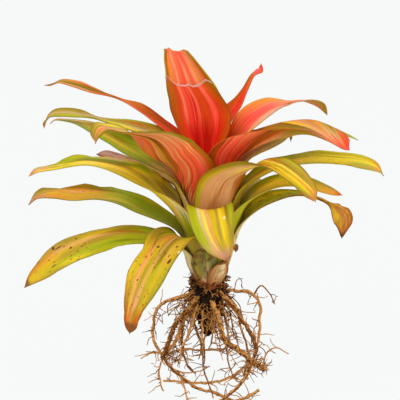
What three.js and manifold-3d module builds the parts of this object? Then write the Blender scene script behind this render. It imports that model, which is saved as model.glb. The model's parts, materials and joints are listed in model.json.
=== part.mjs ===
// A bare-rooted Neoregelia rosette in millimetres: strap leaves whose broad sheaths nest in a funnel round
// a short conical stem, three dry remnants of old sheaths, the wiry roots that the plant stands on, and the
// dark peat still held in them. +Z is up. The origin is the flat underside of a root below the stem's axis.
import * as THREE from "three";
import Module from "manifold-3d";
import { mergeVertices } from "three/addons/utils/BufferGeometryUtils.js";

const wasm = await Module();
wasm.setup();

// The funnel of nested sheaths. Ring 0 is the youngest leaf at the heart and ring 10 the oldest green one.
const OUTER_RING = 10;
const LOWEST_SEAT = 111;
const HIGHEST_SEAT = 135;
const SHEATH_THICKNESS = 0.7;
const RIB_THICKNESS = 1.3;
const MARGIN_THICKNESS = 0.7;
const SEAT_GAP = 0.35;

// Height and radius of the outermost and of the innermost sheath.
const OUTER_FUNNEL = [[108, 11.8], [111, 12.6], [118, 16], [125, 19], [143, 24.5], [152, 27], [168, 32],
  [183, 38], [203, 45], [240, 56]];
const INNER_FUNNEL = [[108, 3], [135, 3.6], [160, 5], [200, 8], [240, 13]];

// Rows along a blade, closer towards the tip, and strips across a narrow sheath and across a wider one.
const BLADE_ROWS = 16;
const REMNANT_ROWS = 7;
const ROW_BIAS = 1.2;
const FEW_STRIPS = 4;
const MANY_STRIPS = 6;
const WIDE_WRAP = 42;

// Samples of a midrib's length between two stations, and steps along and across a leaf for its directions.
const RIB_SAMPLES = 24;
const ALONG_STEP = 0.004;
const ACROSS_STEP = 0.02;

// Shares of a leaf's length over which its waved edge and its thick middle begin and fade, and how far the
// wave of one edge lags the other's.
const WAVE_BEGINS = [0.3, 0.5];
const WAVE_FADES = [0.88, 1];
const RIB_BEGINS = [0.2, 0.45];
const RIB_FADES = [0.9, 1];
const WAVE_LAG = 1.7;

// The stem's flared foot, the rings whose seats shape its cone, the height of its tip, and its sides.
const FOOT_PROFILE = [[0, 96], [9, 96.6], [12.6, 99], [13.4, 103]];
const STEM_RINGS = [12, 10, 8, 6, 4, 2, 0];
const STEM_TIP = 3;
const STEM_SIDES = 24;

// Roots: sides and length of each step of a main root and of a fine rootlet.
const ROOT_SIDES = 6;
const ROOT_STEP = 7;
const ROOTLET_SIDES = 3;
const ROOTLET_STEP = 5;

// Rootlets: seed, distance between two along a main root and how far one strays from its place as a share
// of it, radii at both ends, shortest and longest reach, least and greatest droop as a share of the reach,
// the most that one bends to a side in radians, and the lowest height at which one leaves a root.
const ROOTLET_SEED = 41;
const ROOTLET_SPACING = 20;
const ROOTLET_STRAY = 0.8;
const ROOTLET_RADII = [0.55, 0.4];
const ROOTLET_REACH = [6, 18];
const ROOTLET_DROOP = [0.1, 0.55];
const ROOTLET_BEND = 0.8;
const ROOTLET_LOWEST = 5;

// The peat's height and radius, its lowest and highest points, the depth of its lumps, the clearance round
// what passes through it, and how near the axis no rootlet starts beside it.
const PEAT_PROFILE = [[57, 4], [63, 6.5], [71, 9], [80, 12], [90, 15], [98, 17.5], [104, 15]];
const PEAT_BOTTOM = 55;
const PEAT_TOP = 106;
const PEAT_SIDES = 14;
const PEAT_LUMPS = 0.17;
const PEAT_SEED = 7;
const PEAT_GAP = 0.3;
const PEAT_CLEAR = 22;

// The block cut off below the ground, and the distance within which two points of a mesh are one.
const GROUND_SIZE = [300, 300, 20];
const MERGE_REACH = 1e-4;

// Finishes of the solids.
const RED = { color: 0xe0401c, roughness: 0.42 };
const ORANGE = { color: 0xdd7440, roughness: 0.45 };
const YELLOW = { color: 0xc9a62a, roughness: 0.5 };
const GREEN = { color: 0x93a31c, roughness: 0.5 };
const DRY = { color: 0xa6683c, roughness: 0.8 };
const ROOT = { color: 0x9a6b3f, roughness: 0.85 };
const PEAT = { color: 0x2c1c12, roughness: 0.95 };

// Each leaf has the azimuth of its midrib in degrees (0 to the right, 90 to the back, 180 to the left and
// 270 to the front), its ring in the funnel, how far its sheath wraps to each side in degrees, the height
// of the shoulder where it leaves the funnel, the height, count and phase of its waved edge, and the
// stations of its free blade: reach from the axis, height, half width, roll and cup in degrees, and sway.
const LEAVES = [
  {
    name: "leaf_01_low_left", finish: GREEN,
    azimuth: 193, ring: 10, wrap: 38, shoulder: 138, wave: [1.8, 2.8, 0.4],
    blade: [[36, 148, 14, -8, 24], [58, 154, 13, -24, 20], [82, 155, 14, -30, 16], [105, 151, 15, -30, 14],
      [127, 143, 16, -26, 16], [147, 131, 14, -20, 20], [160, 121, 9.5, -14, 24], [167, 115, 0.8, -10, 20]],
  },
  {
    name: "leaf_02_low_right", finish: GREEN,
    azimuth: 358, ring: 10, wrap: 38, shoulder: 140, wave: [1, 1.6, 2],
    blade: [[31, 163, 15, 2, 29], [44, 179, 12, 14, 28], [62, 188, 9, 22, 28], [83, 191, 6, 14, 30],
      [97, 188, 2.5, 30, 40], [109, 183, 2.4, 60, 40], [117, 176, 8, 66, 20], [122, 166, 9, 68, 16],
      [121, 151, 0.8, 66, 20]],
  },
  {
    name: "leaf_03_low_back", finish: GREEN,
    azimuth: 85, ring: 10, wrap: 42, shoulder: 140, wave: [1.2, 1.8, 1],
    blade: [[36, 160, 16, 0, 26], [60, 172, 17, 0, 24], [85, 174, 17, 4, 18], [108, 165, 14, 6, 18],
      [124, 150, 8, 8, 22], [131, 140, 0.8, 8, 22]],
  },
  {
    name: "leaf_04_hanging_left", finish: YELLOW,
    azimuth: 232, ring: 9, wrap: 46, shoulder: 140, wave: [0.8, 1.4, 2.4],
    blade: [[32, 156, 21, 0, 36, -1], [52, 159, 24, 0, 24, 0], [75, 147, 21, 0, 17, 2], [93, 125, 19, 0, 15],
      [104, 105, 14, 0, 18, -1], [108, 94, 7, 0, 18, -1], [109, 89, 0.8, 0, 18, -1]],
  },
  {
    name: "leaf_05_right_back", finish: GREEN,
    azimuth: 345, ring: 9, wrap: 36, shoulder: 158, wave: [1, 1.5, 0.6],
    blade: [[34, 181, 15, 3, 26], [48, 196, 15, 12, 26], [68, 205, 13, 15, 22], [88, 206, 11, 15, 16],
      [105, 202, 8, 18, 20], [116, 199, 4, 20, 20], [121, 198, 0.8, 20, 20]],
  },
  {
    name: "leaf_06_back_low", finish: GREEN,
    azimuth: 112, ring: 9, wrap: 30, shoulder: 156, wave: [1.2, 1.7, 0],
    blade: [[33, 174, 16, 0, 27], [50, 187, 16, 0, 26], [70, 192, 15, 0, 20], [88, 188, 11, 0, 20],
      [100, 180, 0.8, 0, 22]],
  },
  {
    name: "leaf_07_left", finish: GREEN,
    azimuth: 180, ring: 8, wrap: 38, shoulder: 146, wave: [2, 2.8, 1.2],
    blade: [[31, 160, 16, -3, 29], [52, 173, 15, -14, 28], [75, 185, 15, -16, 22], [97, 189, 14, -16, 18],
      [119, 190, 12, -16, 16], [140, 191, 11, -16, 18], [153, 188, 8, -14, 24], [161, 181, 0.8, -10, 24]],
  },
  {
    name: "leaf_08_folded_front", finish: YELLOW,
    azimuth: 276, ring: 8, wrap: 40, shoulder: 162, wave: [0, 0, 0],
    blade: [[37, 183, 20, 0, 36, -3], [47, 188, 21.5, 0, 36, -4], [56, 182, 20, 0, 24, -3],
      [61, 168, 16, 0, 16, 1], [63, 156, 10, 0, 16, 6], [64, 147, 0.8, 0, 16, 9]],
  },
  {
    name: "leaf_09_back_right_low", finish: GREEN,
    azimuth: 48, ring: 8, wrap: 42, shoulder: 156, wave: [1, 1.6, 0.9],
    blade: [[30, 176, 14, 0, 27], [46, 187, 14, 4, 26], [64, 191, 13, 6, 20], [80, 187, 9, 6, 20],
      [92, 179, 0.8, 6, 22]],
  },
  {
    name: "leaf_10_left_front", finish: YELLOW,
    azimuth: 197, ring: 7, wrap: 42, shoulder: 156, wave: [1.6, 2.6, 0.7],
    blade: [[31, 174, 24, 0, 44, -1], [42, 188, 26, -6, 42, -1], [55, 201, 24, -12, 38, 0],
      [71, 213, 19, -18, 30, 2], [91, 223, 14, -20, 22, 4], [114, 229, 11, -14, 16, 4],
      [132, 229, 6, -6, 14, 3], [148, 228, 3.5, -4, 14, 2], [162, 226, 0.8, 0, 10, 2]],
  },
  {
    name: "leaf_11_right", finish: GREEN,
    azimuth: 0, ring: 7, wrap: 32, shoulder: 172, wave: [1.2, 2, 0.2],
    blade: [[34, 198, 16, 0, 27], [47, 209, 15, 8, 28], [66, 218, 15, 12, 24], [91, 223, 16, 14, 16],
      [118, 222, 14, 14, 14], [140, 218, 13, 12, 16], [152, 213, 10, 8, 20], [157, 208, 0.8, 0, 20]],
  },
  {
    name: "leaf_12_back_middle", finish: GREEN,
    azimuth: 75, ring: 7, wrap: 36, shoulder: 172, wave: [1.2, 1.8, 2],
    blade: [[33, 195, 14, 0, 25], [52, 208, 15, 0, 24], [76, 212, 15, 0, 20], [98, 205, 11, 0, 20],
      [112, 194, 0.8, 0, 22]],
  },
  {
    name: "leaf_13_dry_tip_back", finish: DRY,
    azimuth: 148, ring: 6, wrap: 46, shoulder: 172, wave: [0.6, 2, 0],
    blade: [[29, 193, 12, 0, 24], [46, 202, 12, -6, 26], [66, 206, 10, -8, 26], [88, 210, 7, -10, 26],
      [104, 212, 7, -15, 25], [116, 213, 5, -20, 20], [122, 212, 0.8, -20, 20]],
  },
  {
    name: "leaf_14_front_right", finish: YELLOW,
    azimuth: 295, ring: 6, wrap: 52, shoulder: 190, wave: [0.6, 1.5, 0],
    blade: [[38, 211, 24, 0, 36], [54, 224, 20, 0, 30, 8], [67, 230, 13, 4, 24, 20],
      [79, 229, 11, 6, 20, 32], [89, 220, 10, 8, 20, 44], [95, 209, 7, 10, 22, 52],
      [97, 201, 0.8, 12, 22, 56]],
  },
  {
    name: "leaf_15_back_right", finish: GREEN,
    azimuth: 30, ring: 6, wrap: 34, shoulder: 190, wave: [0.8, 1.6, 1.4],
    blade: [[36, 217, 14, 0, 23], [46, 223, 12, 8, 26], [61, 228, 10, 14, 24], [75, 233, 8, 14, 20],
      [82, 235, 6, 10, 26], [87, 234, 4, 10, 30], [88, 230, 0.8, 10, 20]],
  },
  {
    name: "leaf_16_left_broad", finish: ORANGE,
    azimuth: 222, ring: 4, wrap: 50, shoulder: 188, wave: [0.8, 1.8, 0.5],
    blade: [[33, 217, 35, 6, 50], [49, 232, 37, 13, 40, -5], [65, 248, 29, 10, 34, -8],
      [83, 257, 20, 0, 30, -10], [99, 262, 13, -10, 24, -13], [110, 265, 10, -10, 24, -13],
      [115, 260, 7, -4, 26, -14], [116, 254, 0.8, 0, 26, -14]],
  },
  {
    name: "leaf_17_right_hidden", finish: GREEN,
    azimuth: 12, ring: 5, wrap: 46, shoulder: 198, wave: [0.8, 1.6, 0.2],
    blade: [[34, 222, 14, 0, 24], [47, 231, 13, 6, 26], [64, 239, 12, 8, 22], [88, 245, 11, 8, 20],
      [113, 244, 9, 8, 18], [130, 238, 5, 6, 20], [139, 234, 0.8, 4, 20]],
  },
  {
    name: "leaf_18_back_upper", finish: GREEN,
    azimuth: 86, ring: 5, wrap: 24, shoulder: 200, wave: [1, 1.7, 1.7],
    blade: [[32, 222, 13, 0, 23], [46, 233, 14, 0, 24], [66, 239, 14, 0, 22], [86, 236, 11, 0, 20],
      [101, 226, 0.8, 0, 22]],
  },
  {
    name: "leaf_19_left_upper", finish: GREEN,
    azimuth: 168, ring: 5, wrap: 54, shoulder: 184, wave: [1.2, 2, 0.4],
    blade: [[32, 205, 19, -4, 34], [47, 217, 19, -16, 30], [63, 226, 18, -20, 26], [81, 235, 15, -20, 20],
      [100, 244, 11, -18, 16], [118, 250, 7, -12, 16], [132, 252, 4, -6, 16], [142, 252, 2.6, 0, 16],
      [146, 249, 0.8, 0, 16]],
  },
  {
    name: "leaf_20_right_channelled", finish: ORANGE,
    azimuth: 338, ring: 4, wrap: 62, shoulder: 200, wave: [0.8, 2, 2.8],
    blade: [[29, 225, 36, 0, 74, -1], [46, 238, 31, -4, 64, 1], [69, 248, 26, -2, 50, 5],
      [92, 253, 21, 4, 38, 8], [109, 250, 16, 10, 26, 10], [120, 245, 12, 12, 24, 12],
      [126, 240, 6, 12, 24, 13]],
  },
  {
    name: "leaf_21_left_olive", finish: GREEN,
    azimuth: 158, ring: 3, wrap: 54, shoulder: 208, wave: [0.8, 2.2, 1.4],
    blade: [[29, 231, 14, -2, 28], [44, 239, 11, -12, 28], [60, 244, 10, -16, 24], [81, 248, 9, -14, 20],
      [101, 250, 8, -8, 18], [121, 252.5, 8, -10, 18], [142, 253, 7, -8, 20], [155, 251, 6, -4, 24],
      [162, 244, 5, 0, 26], [163, 238, 0.8, 0, 20]],
  },
  {
    name: "leaf_22_right_upper", finish: ORANGE,
    azimuth: 25, ring: 3, wrap: 54, shoulder: 208, wave: [0.5, 1.5, 0],
    blade: [[29, 239, 15, 4, 31], [45, 256, 16, 16, 28], [63, 265, 12, 22, 22], [80, 267, 6, 20, 16],
      [91, 268, 3.5, 5, 12], [101, 267, 4.5, -20, 10], [114, 262, 5, -30, 12], [121, 253, 0.8, -30, 12]],
  },
  {
    name: "leaf_23_thin_left", finish: ORANGE,
    azimuth: 150, ring: 2, wrap: 44, shoulder: 212, wave: [0.4, 2, 0],
    blade: [[23, 232, 11, -2, 28], [35, 242, 9, -14, 28], [50, 251, 8, -20, 26], [71, 262, 6, -20, 20],
      [96, 269, 2.4, 0, 12], [120, 273, 5, -20, 12], [142, 277, 5.5, -22, 14], [159, 278, 4.5, -15, 16],
      [169, 274, 3.5, -10, 20], [176, 273, 0.8, 0, 20]],
  },
  {
    name: "leaf_24_thin_right", finish: RED,
    azimuth: 55, ring: 2, wrap: 36, shoulder: 214, wave: [0, 0, 0],
    blade: [[25, 241, 8, 0, 18, 5], [38, 255, 8, 20, 20, 6], [50, 265, 5.4, 44, 20, 3], [60, 277, 3.4, 58, 16, 1],
      [70, 287, 3, 50, 14], [79, 290, 2.8, 40, 10], [85, 291, 2.2, 20, 10],
      [86, 296, 0.8, 10, 10]],
  },
  {
    name: "leaf_25_heart_back", finish: ORANGE,
    azimuth: 100, ring: 1, wrap: 72, shoulder: 205, wave: [0.4, 1.5, 0],
    level: true,
    blade: [[17, 232, 20, 0, 68, 1], [23, 258, 28, 0, 58, 5], [27, 280, 26, 0, 48, 11],
      [31, 298, 19, 0, 42, 17], [33, 308, 15, 0, 38, 21], [35, 316, 11, 0, 36, 24]],
  },
  {
    name: "leaf_26_heart_front", finish: RED,
    azimuth: 95, ring: 0, wrap: 78, shoulder: 200, wave: [0.4, 1.3, 1],
    level: true,
    blade: [[9, 236, 21, 0, 80, 2], [9, 250, 29, 0, 68, 4], [11, 266, 31, 0, 56, 7],
      [12, 280, 26, 0, 48, 12], [14, 293, 21, 0, 44, 18]],
  },
];

// Dry remnants of older sheaths round the foot of the funnel, given as the leaves are.
const REMNANTS = [
  {
    name: "old_sheath_front", finish: GREEN,
    azimuth: 266, ring: 10.9, wrap: 40, shoulder: 130, wave: [0, 0, 0],
    blade: [[24, 138, 12, 0, 28], [26.5, 145, 6, 0, 20]],
  },
  {
    name: "dry_sheath_right", finish: DRY,
    azimuth: 320, ring: 10.9, wrap: 12, shoulder: 128, wave: [0, 0, 0],
    blade: [[24, 137, 5, 0, 20], [27, 144, 5.5, 0, 20], [31, 147, 4, 10, 30], [33, 144, 2, 10, 30]],
  },
  {
    name: "papery_sheath_front", finish: DRY,
    azimuth: 297, ring: 12.6, wrap: 30, shoulder: 117, wave: [0, 0, 0],
    blade: [[22.5, 122, 10, 0, 26], [26, 129, 8, 4, 22], [28.5, 134, 4, 8, 18]],
  },
];

// Main roots as points along each, with the radius at its start and at its end.
const ROOTS = [
  { radii: [1.7, 1.2], points: [[-8, -2, 101], [-23, -4, 95], [-32, -2, 92], [-42, 2, 86], [-48, 4, 77],
    [-50, 6, 66], [-51, 6, 55], [-48, 3, 45], [-42, -4, 38]] },
  { radii: [2.7, 2], points: [[-6, -6, 102], [-14, -14, 90], [-24, -16, 80], [-31, -16, 69], [-36, -14, 54],
    [-42, -9, 37]] },
  { radii: [2.1, 1.6], points: [[-4, -3, 98], [-14, -8, 84], [-23, -6, 72], [-28, -7, 56], [-38, -9, 41]] },
  { radii: [2.4, 2.5], points: [[0, -6, 102], [5, -16, 90], [10, -19, 79], [13, -20, 65], [16, -19, 57],
    [26, -16, 49], [35, -14, 41], [44, -14, 33], [52, -14, 28]] },
  { radii: [2.1, 1.4], points: [[6, -4, 104], [16, -12, 96], [25, -16, 88], [31, -18, 77], [38, -18, 66],
    [43, -16, 54], [44, -14, 45], [40, -16, 36], [36, -20, 27], [31, -24, 19], [22, -27, 11], [13, -29, 4],
    [7, -30, 1]] },
  { radii: [1.6, 1.2], points: [[8, 3, 100], [26, 9, 96], [38, 12, 94], [45, 12, 88], [49, 12, 79],
    [48, 12, 69], [48, 8, 57], [44, -8, 44], [43, -13, 40]] },
  { radii: [1.6, 1.4], points: [[-41, -9, 38], [-33, -5, 25], [-23, 0, 14], [-12, 3, 4], [-5, 2.4, 0.9],
    [5, -3, 0.8], [15, -16, 1.4], [24, -24, 1.1], [35, -17, 1.2], [47, 0, 1.6]] },
  { radii: [1.3, 1.1], points: [[42, -13, 39], [33, 2, 23], [23, 10, 12], [12, 15, 5], [-2, 18, 2],
    [-17, 20, 1.2], [-30, 24, 1], [-42, 26, 0.9]] },
  { radii: [1, 0.9], points: [[-41, -9, 39], [-28, 8, 38], [-18, 12, 38], [-8, 14, 36], [3, 13, 37],
    [12, 4, 40], [17, -14, 51], [16, -19, 58]] },
  { radii: [0.9, 0.7], points: [[-6, -4, 94], [-13, -6, 76], [-8, -8, 57], [-5, -10, 44], [-4, -11, 28],
    [0, -12, 15], [4, -14, 4], [5, -17, 0.7]] },
  { radii: [0.9, 0.7], points: [[-41, -9, 38], [-45, -6, 24], [-44, -3, 12], [-42, 0, 2], [-41, 2, 0.6]] },
  { radii: [1.2, 0.9], points: [[5, 7, 98], [16, 20, 90], [25, 24, 78], [29, 25, 66], [31, 26, 54],
    [36, 26, 40], [38, 29, 24], [36, 35, 9], [34, 39, 0.8]] },
  { radii: [1.4, 0.9], points: [[-4, 8, 98], [-12, 22, 86], [-20, 31, 66], [-24, 36, 44], [-23, 41, 22],
    [-17, 44, 6], [-12, 46, 0.8]] },
  { radii: [0.9, 0.7], points: [[-26, -1, 17], [-21, -14, 8], [-19, -24, 2], [-18, -31, 0.7]] },
  { radii: [0.8, 0.6], points: [[16, -19, 56], [20, -19, 32], [27, -21, 19], [33, -23, 21]] },
  { radii: [0.9, 0.5], points: [[-42, -4, 40], [-52, -1, 39], [-62, 0, 33]] },
  { radii: [0.8, 0.5], points: [[50, -14, 29], [54, -14, 44], [62, -14, 49], [74, -14, 43]] },
  { radii: [0.8, 0.5], points: [[42, 12, 91], [49, 12, 100], [56, 12, 94], [62, 12, 82]] },
  { radii: [0.7, 0.5], points: [[-33, -5, 25], [-22, -2, 20], [-6, -2, 22], [2, -3, 27]] },
];

const { clamp, degToRad: radians, lerp, smoothstep } = THREE.MathUtils;
const UP = new THREE.Vector3(0, 0, 1);

// Reads a value at a height from [height, value] pairs, straight between them.
function readAt(pairs, height) {
  const after = pairs.findIndex(([h]) => h > height);
  if (after === 0) return pairs[0][1];
  if (after < 0) return pairs[pairs.length - 1][1];
  const [h0, v0] = pairs[after - 1];
  const [h1, v1] = pairs[after];
  return v0 + ((v1 - v0) * (height - h0)) / (h1 - h0);
}

// Radius of a ring's sheath at a height, and the height at which the ring sits on the stem.
function funnelRadius(ring, height) {
  const inner = readAt(INNER_FUNNEL, height);
  return inner + ((readAt(OUTER_FUNNEL, height) - inner) * ring) / OUTER_RING;
}
const seatHeight = (ring) => HIGHEST_SEAT - ((HIGHEST_SEAT - LOWEST_SEAT) * ring) / OUTER_RING;

// A leaf's stations: reach, height, half width, roll, cup, sway, and 0 in the funnel or 1 when free of it.
function stationsOf(leaf) {
  const rows = [];
  const seat = seatHeight(leaf.ring);
  for (const share of [0, 0.5, 1]) {
    const height = seat + (leaf.shoulder - seat) * share;
    const radius = funnelRadius(leaf.ring, height);
    rows.push([radius, height, radius * radians(leaf.wrap), 0, leaf.wrap, 0, 0]);
  }
  for (const [reach, height, half, roll, cup, sway = 0] of leaf.blade) {
    rows.push([reach, height, half, roll, cup, sway, 1]);
  }
  return rows;
}

// A centripetal Catmull-Rom spline through rows of several channels, read at an even share of its length.
// Reach, height and sway set the spacing of its knots and its length.
class RibSpline {
  constructor(rows) {
    const last = rows.length - 1;
    const beyond = (end, before) => end.map((value, c) => 2 * value - before[c]);
    this.spans = last;
    this.knots = [beyond(rows[0], rows[1]), ...rows, beyond(rows[last], rows[last - 1])];
    this.lengths = [0];
    const steps = RIB_SAMPLES * last;
    let before = this.at(0);
    for (let k = 1; k <= steps; k++) {
      const row = this.at(k / steps);
      this.lengths.push(this.lengths[k - 1] + this.distance(row, before));
      before = row;
    }
    this.length = this.lengths[steps];
  }

  distance(a, b) {
    return Math.hypot(a[0] - b[0], a[1] - b[1], a[5] - b[5]);
  }

  at(share) {
    const place = Math.min(share * this.spans, this.spans - 1e-9);
    const span = Math.floor(place);
    const w = place - span;
    const [p0, p1, p2, p3] = this.knots.slice(span, span + 4);
    const [d0, d1, d2] = [[p0, p1], [p1, p2], [p2, p3]].map(([a, b]) => Math.sqrt(this.distance(a, b)));
    return p1.map((value, c) => {
      const t1 = ((value - p0[c]) / d0 - (p2[c] - p0[c]) / (d0 + d1) + (p2[c] - value) / d1) * d1;
      const t2 = ((p2[c] - value) / d1 - (p3[c] - value) / (d1 + d2) + (p3[c] - p2[c]) / d2) * d1;
      const square = 3 * (p2[c] - value) - 2 * t1 - t2;
      const cube = 2 * (value - p2[c]) + t1 + t2;
      return value + w * (t1 + w * (square + w * cube));
    });
  }

  atLength(share) {
    const wanted = share * this.length;
    const last = this.lengths.length - 1;
    const k = Math.max(1, Math.min(last, this.lengths.findIndex((length) => length >= wanted)));
    const before = this.lengths[k - 1];
    const part = (wanted - before) / (this.lengths[k] - before);
    return this.at((k - 1 + clamp(part, 0, 1)) / last);
  }
}

// The middle surface of a leaf at a share of its length and a side from -1 to 1. Its section is an arc of
// the cup's angle, level and centred on the axis in the funnel, and square to the midrib on the blade.
class LeafSurface {
  constructor(leaf) {
    this.leaf = leaf;
    this.spline = new RibSpline(stationsOf(leaf));
    const turn = radians(leaf.azimuth);
    this.outward = new THREE.Vector3(Math.cos(turn), Math.sin(turn), 0);
    this.sideways = new THREE.Vector3(-Math.sin(turn), Math.cos(turn), 0);
  }

  rib(row) {
    const point = UP.clone().multiplyScalar(row[1]);
    return point.addScaledVector(this.outward, row[0]).addScaledVector(this.sideways, row[5]);
  }

  // The midrib's point with the directions across the blade and up from its face.
  frame(share) {
    const row = this.spline.atLength(share);
    const ahead = this.rib(this.spline.atLength(Math.min(share + ALONG_STEP, 1)));
    const behind = this.rib(this.spline.atLength(Math.max(share - ALONG_STEP, 0)));
    const free = row[6];
    const tangent = ahead.sub(behind).normalize().lerp(UP, 1 - free).normalize();
    const lean = this.leaf.level ? 0 : this.sideways.dot(tangent);
    const across = this.sideways.clone().addScaledVector(tangent, -lean).normalize();
    across.applyAxisAngle(tangent, radians(row[3]));
    return { row, point: this.rib(row), across, up: tangent.cross(across).normalize() };
  }

  point(share, side) {
    const { row, point, across, up } = this.frame(share);
    const angle = radians(row[4]);
    const radius = row[2] / angle;
    const [height, count, phase] = this.leaf.wave;
    const calm = smoothstep(share, ...WAVE_BEGINS) * (1 - smoothstep(share, ...WAVE_FADES));
    const lag = side > 0 ? WAVE_LAG : 0;
    const wave = height * calm * side * side * Math.sin(2 * Math.PI * count * share + phase + lag);
    point.addScaledVector(across, radius * Math.sin(side * angle));
    return point.addScaledVector(up, radius * (1 - Math.cos(side * angle)) + wave);
  }

  thickness(share, side) {
    const blade = MARGIN_THICKNESS + (RIB_THICKNESS - MARGIN_THICKNESS) * (1 - side * side);
    const free = smoothstep(share, ...RIB_BEGINS) * (1 - smoothstep(share, ...RIB_FADES));
    return SHEATH_THICKNESS + (blade - SHEATH_THICKNESS) * free;
  }

  normal(share, side) {
    const along = this.point(Math.min(share + ALONG_STEP, 1), side);
    along.sub(this.point(Math.max(share - ALONG_STEP, 0), side));
    const across = this.point(share, Math.min(side + ACROSS_STEP, 1));
    across.sub(this.point(share, Math.max(side - ACROSS_STEP, -1)));
    return along.cross(across).normalize();
  }
}

// A closed sheet round a middle surface: two faces half a thickness to either side, split into triangles
// alike, and walls round the rim.
function sheetGeometry(surface, rows, strips) {
  const columns = strips + 1;
  const face = (rows + 1) * columns;
  const points = new Float32Array(face * 2 * 3);
  for (let i = 0; i <= rows; i++) {
    const share = 1 - (1 - i / rows) ** ROW_BIAS;
    for (let j = 0; j < columns; j++) {
      const side = (2 * j) / strips - 1;
      const middle = surface.point(share, side);
      const offset = surface.normal(share, side).multiplyScalar(surface.thickness(share, side) / 2);
      const at = i * columns + j;
      middle.clone().add(offset).toArray(points, at * 3);
      middle.clone().sub(offset).toArray(points, (face + at) * 3);
    }
  }
  const triangles = [];
  const quad = (a, b, c, d) => triangles.push(a, b, c, a, c, d);
  for (let i = 0; i < rows; i++) {
    const left = i * columns;
    const right = left + strips;
    for (let a = left; a < right; a++) {
      quad(a, a + columns, a + columns + 1, a + 1);
      quad(face + a + columns + 1, face + a + columns, face + a, face + a + 1);
    }
    quad(left, face + left, face + left + columns, left + columns);
    quad(right, right + columns, face + right + columns, face + right);
  }
  for (let j = 0; j < strips; j++) {
    const tip = rows * columns + j;
    quad(j, j + 1, face + j + 1, face + j);
    quad(tip, face + tip, face + tip + 1, tip + 1);
  }
  const geometry = new THREE.BufferGeometry().setIndex(triangles);
  return geometry.setAttribute("position", new THREE.BufferAttribute(points, 3));
}

// A geometry's points and triangles alone, with each point once, so that its faces close up.
function bareMesh(geometry) {
  const bare = new THREE.BufferGeometry().setAttribute("position", geometry.getAttribute("position"));
  return mergeVertices(bare.setIndex(geometry.index), MERGE_REACH);
}

// A closed solid for joining and cutting, and the geometry of one.
function solid(geometry) {
  const bare = bareMesh(geometry);
  const vertProperties = bare.getAttribute("position").array;
  const triVerts = new Uint32Array(bare.index.array);
  return new wasm.Manifold(new wasm.Mesh({ numProp: 3, vertProperties, triVerts }));
}

function geometryOf(body) {
  const { triVerts, vertProperties } = body.getMesh();
  const geometry = new THREE.BufferGeometry().setIndex([...triVerts]);
  return geometry.setAttribute("position", new THREE.Float32BufferAttribute(vertProperties, 3));
}

// The same stream of numbers from 0 to 1 for the same seed.
function randomFrom(seed) {
  let state = seed;
  return () => {
    state = (Math.imul(state, 1664525) + 1013904223) >>> 0;
    return state / 2 ** 32;
  };
}

// A round bar that tapers along a curve, closed by a flat fan at each end.
function taperedBar(points, radii, sides, step) {
  const curve = new THREE.CatmullRomCurve3(points.map((point) => new THREE.Vector3(...point)));
  const rings = Math.max(2, Math.round(curve.getLength() / step));
  const { normals, binormals } = curve.computeFrenetFrames(rings, false);
  const positions = [];
  for (let i = 0; i <= rings; i++) {
    const centre = curve.getPointAt(i / rings);
    const radius = lerp(radii[0], radii[1], i / rings);
    for (let j = 0; j < sides; j++) {
      const turn = (2 * Math.PI * j) / sides;
      const rim = centre.clone().addScaledVector(normals[i], radius * Math.cos(turn));
      positions.push(...rim.addScaledVector(binormals[i], radius * Math.sin(turn)).toArray());
    }
  }
  const triangles = [];
  for (let i = 0; i < rings; i++) {
    for (let j = 0; j < sides; j++) {
      const [a, b] = [i * sides + j, i * sides + ((j + 1) % sides)];
      triangles.push(a, b, b + sides, a, b + sides, a + sides);
    }
  }
  const last = rings * sides;
  for (let j = 1; j < sides - 1; j++) triangles.push(0, j + 1, j, last, last + j, last + j + 1);
  const geometry = new THREE.BufferGeometry().setIndex(triangles);
  return geometry.setAttribute("position", new THREE.Float32BufferAttribute(positions, 3));
}

// A turned solid from its profile of radius and height, listed from the bottom of the axis to the top.
function turned(profile, sides) {
  const rim = profile.map(([radius, height]) => new THREE.Vector2(radius, height));
  return new THREE.LatheGeometry(rim, sides).rotateX(Math.PI / 2);
}

// The stem: a cone stepped back under each ring's seat, so that the sheaths stand just clear of it.
function stemProfile(grow) {
  const under = SHEATH_THICKNESS / 2 + SEAT_GAP;
  const cone = STEM_RINGS.map((ring) => {
    const height = seatHeight(ring);
    return [funnelRadius(ring, height) - under + grow, height];
  });
  const [bottom, ...sides] = FOOT_PROFILE;
  const foot = [[bottom[0], bottom[1] - grow], ...sides.map(([radius, height]) => [radius + grow, height])];
  return [...foot, ...cone, [0, HIGHEST_SEAT + STEM_TIP + grow]];
}

// Fine rootlets: each leaves a main root sideways, clear of the peat, then bends a little and droops.
function rootlets() {
  const random = randomFrom(ROOTLET_SEED);
  const between = (least, most) => lerp(least, most, random());
  const list = [];
  for (const { points } of ROOTS) {
    const curve = new THREE.CatmullRomCurve3(points.map((point) => new THREE.Vector3(...point)));
    const count = Math.floor(curve.getLength() / ROOTLET_SPACING);
    for (let k = 1; k < count; k++) {
      const from = curve.getPointAt((k + between(0, ROOTLET_STRAY)) / count);
      const turn = between(0, 2 * Math.PI);
      const reach = between(...ROOTLET_REACH);
      const droop = between(...ROOTLET_DROOP) * reach;
      const bend = between(-ROOTLET_BEND, ROOTLET_BEND);
      const nearPeat = from.z > PEAT_BOTTOM && Math.hypot(from.x, from.y) < PEAT_CLEAR;
      if (from.z < ROOTLET_LOWEST || nearPeat || from.z - droop < 1) continue;
      const direction = new THREE.Vector3(Math.cos(turn), Math.sin(turn), 0);
      const middle = from.clone().addScaledVector(direction, reach / 2);
      const end = from.clone().addScaledVector(direction.applyAxisAngle(UP, bend), reach);
      middle.z -= droop / 4;
      end.z -= droop;
      list.push([from, middle, end].map((point) => point.toArray()));
    }
  }
  return list;
}

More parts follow.
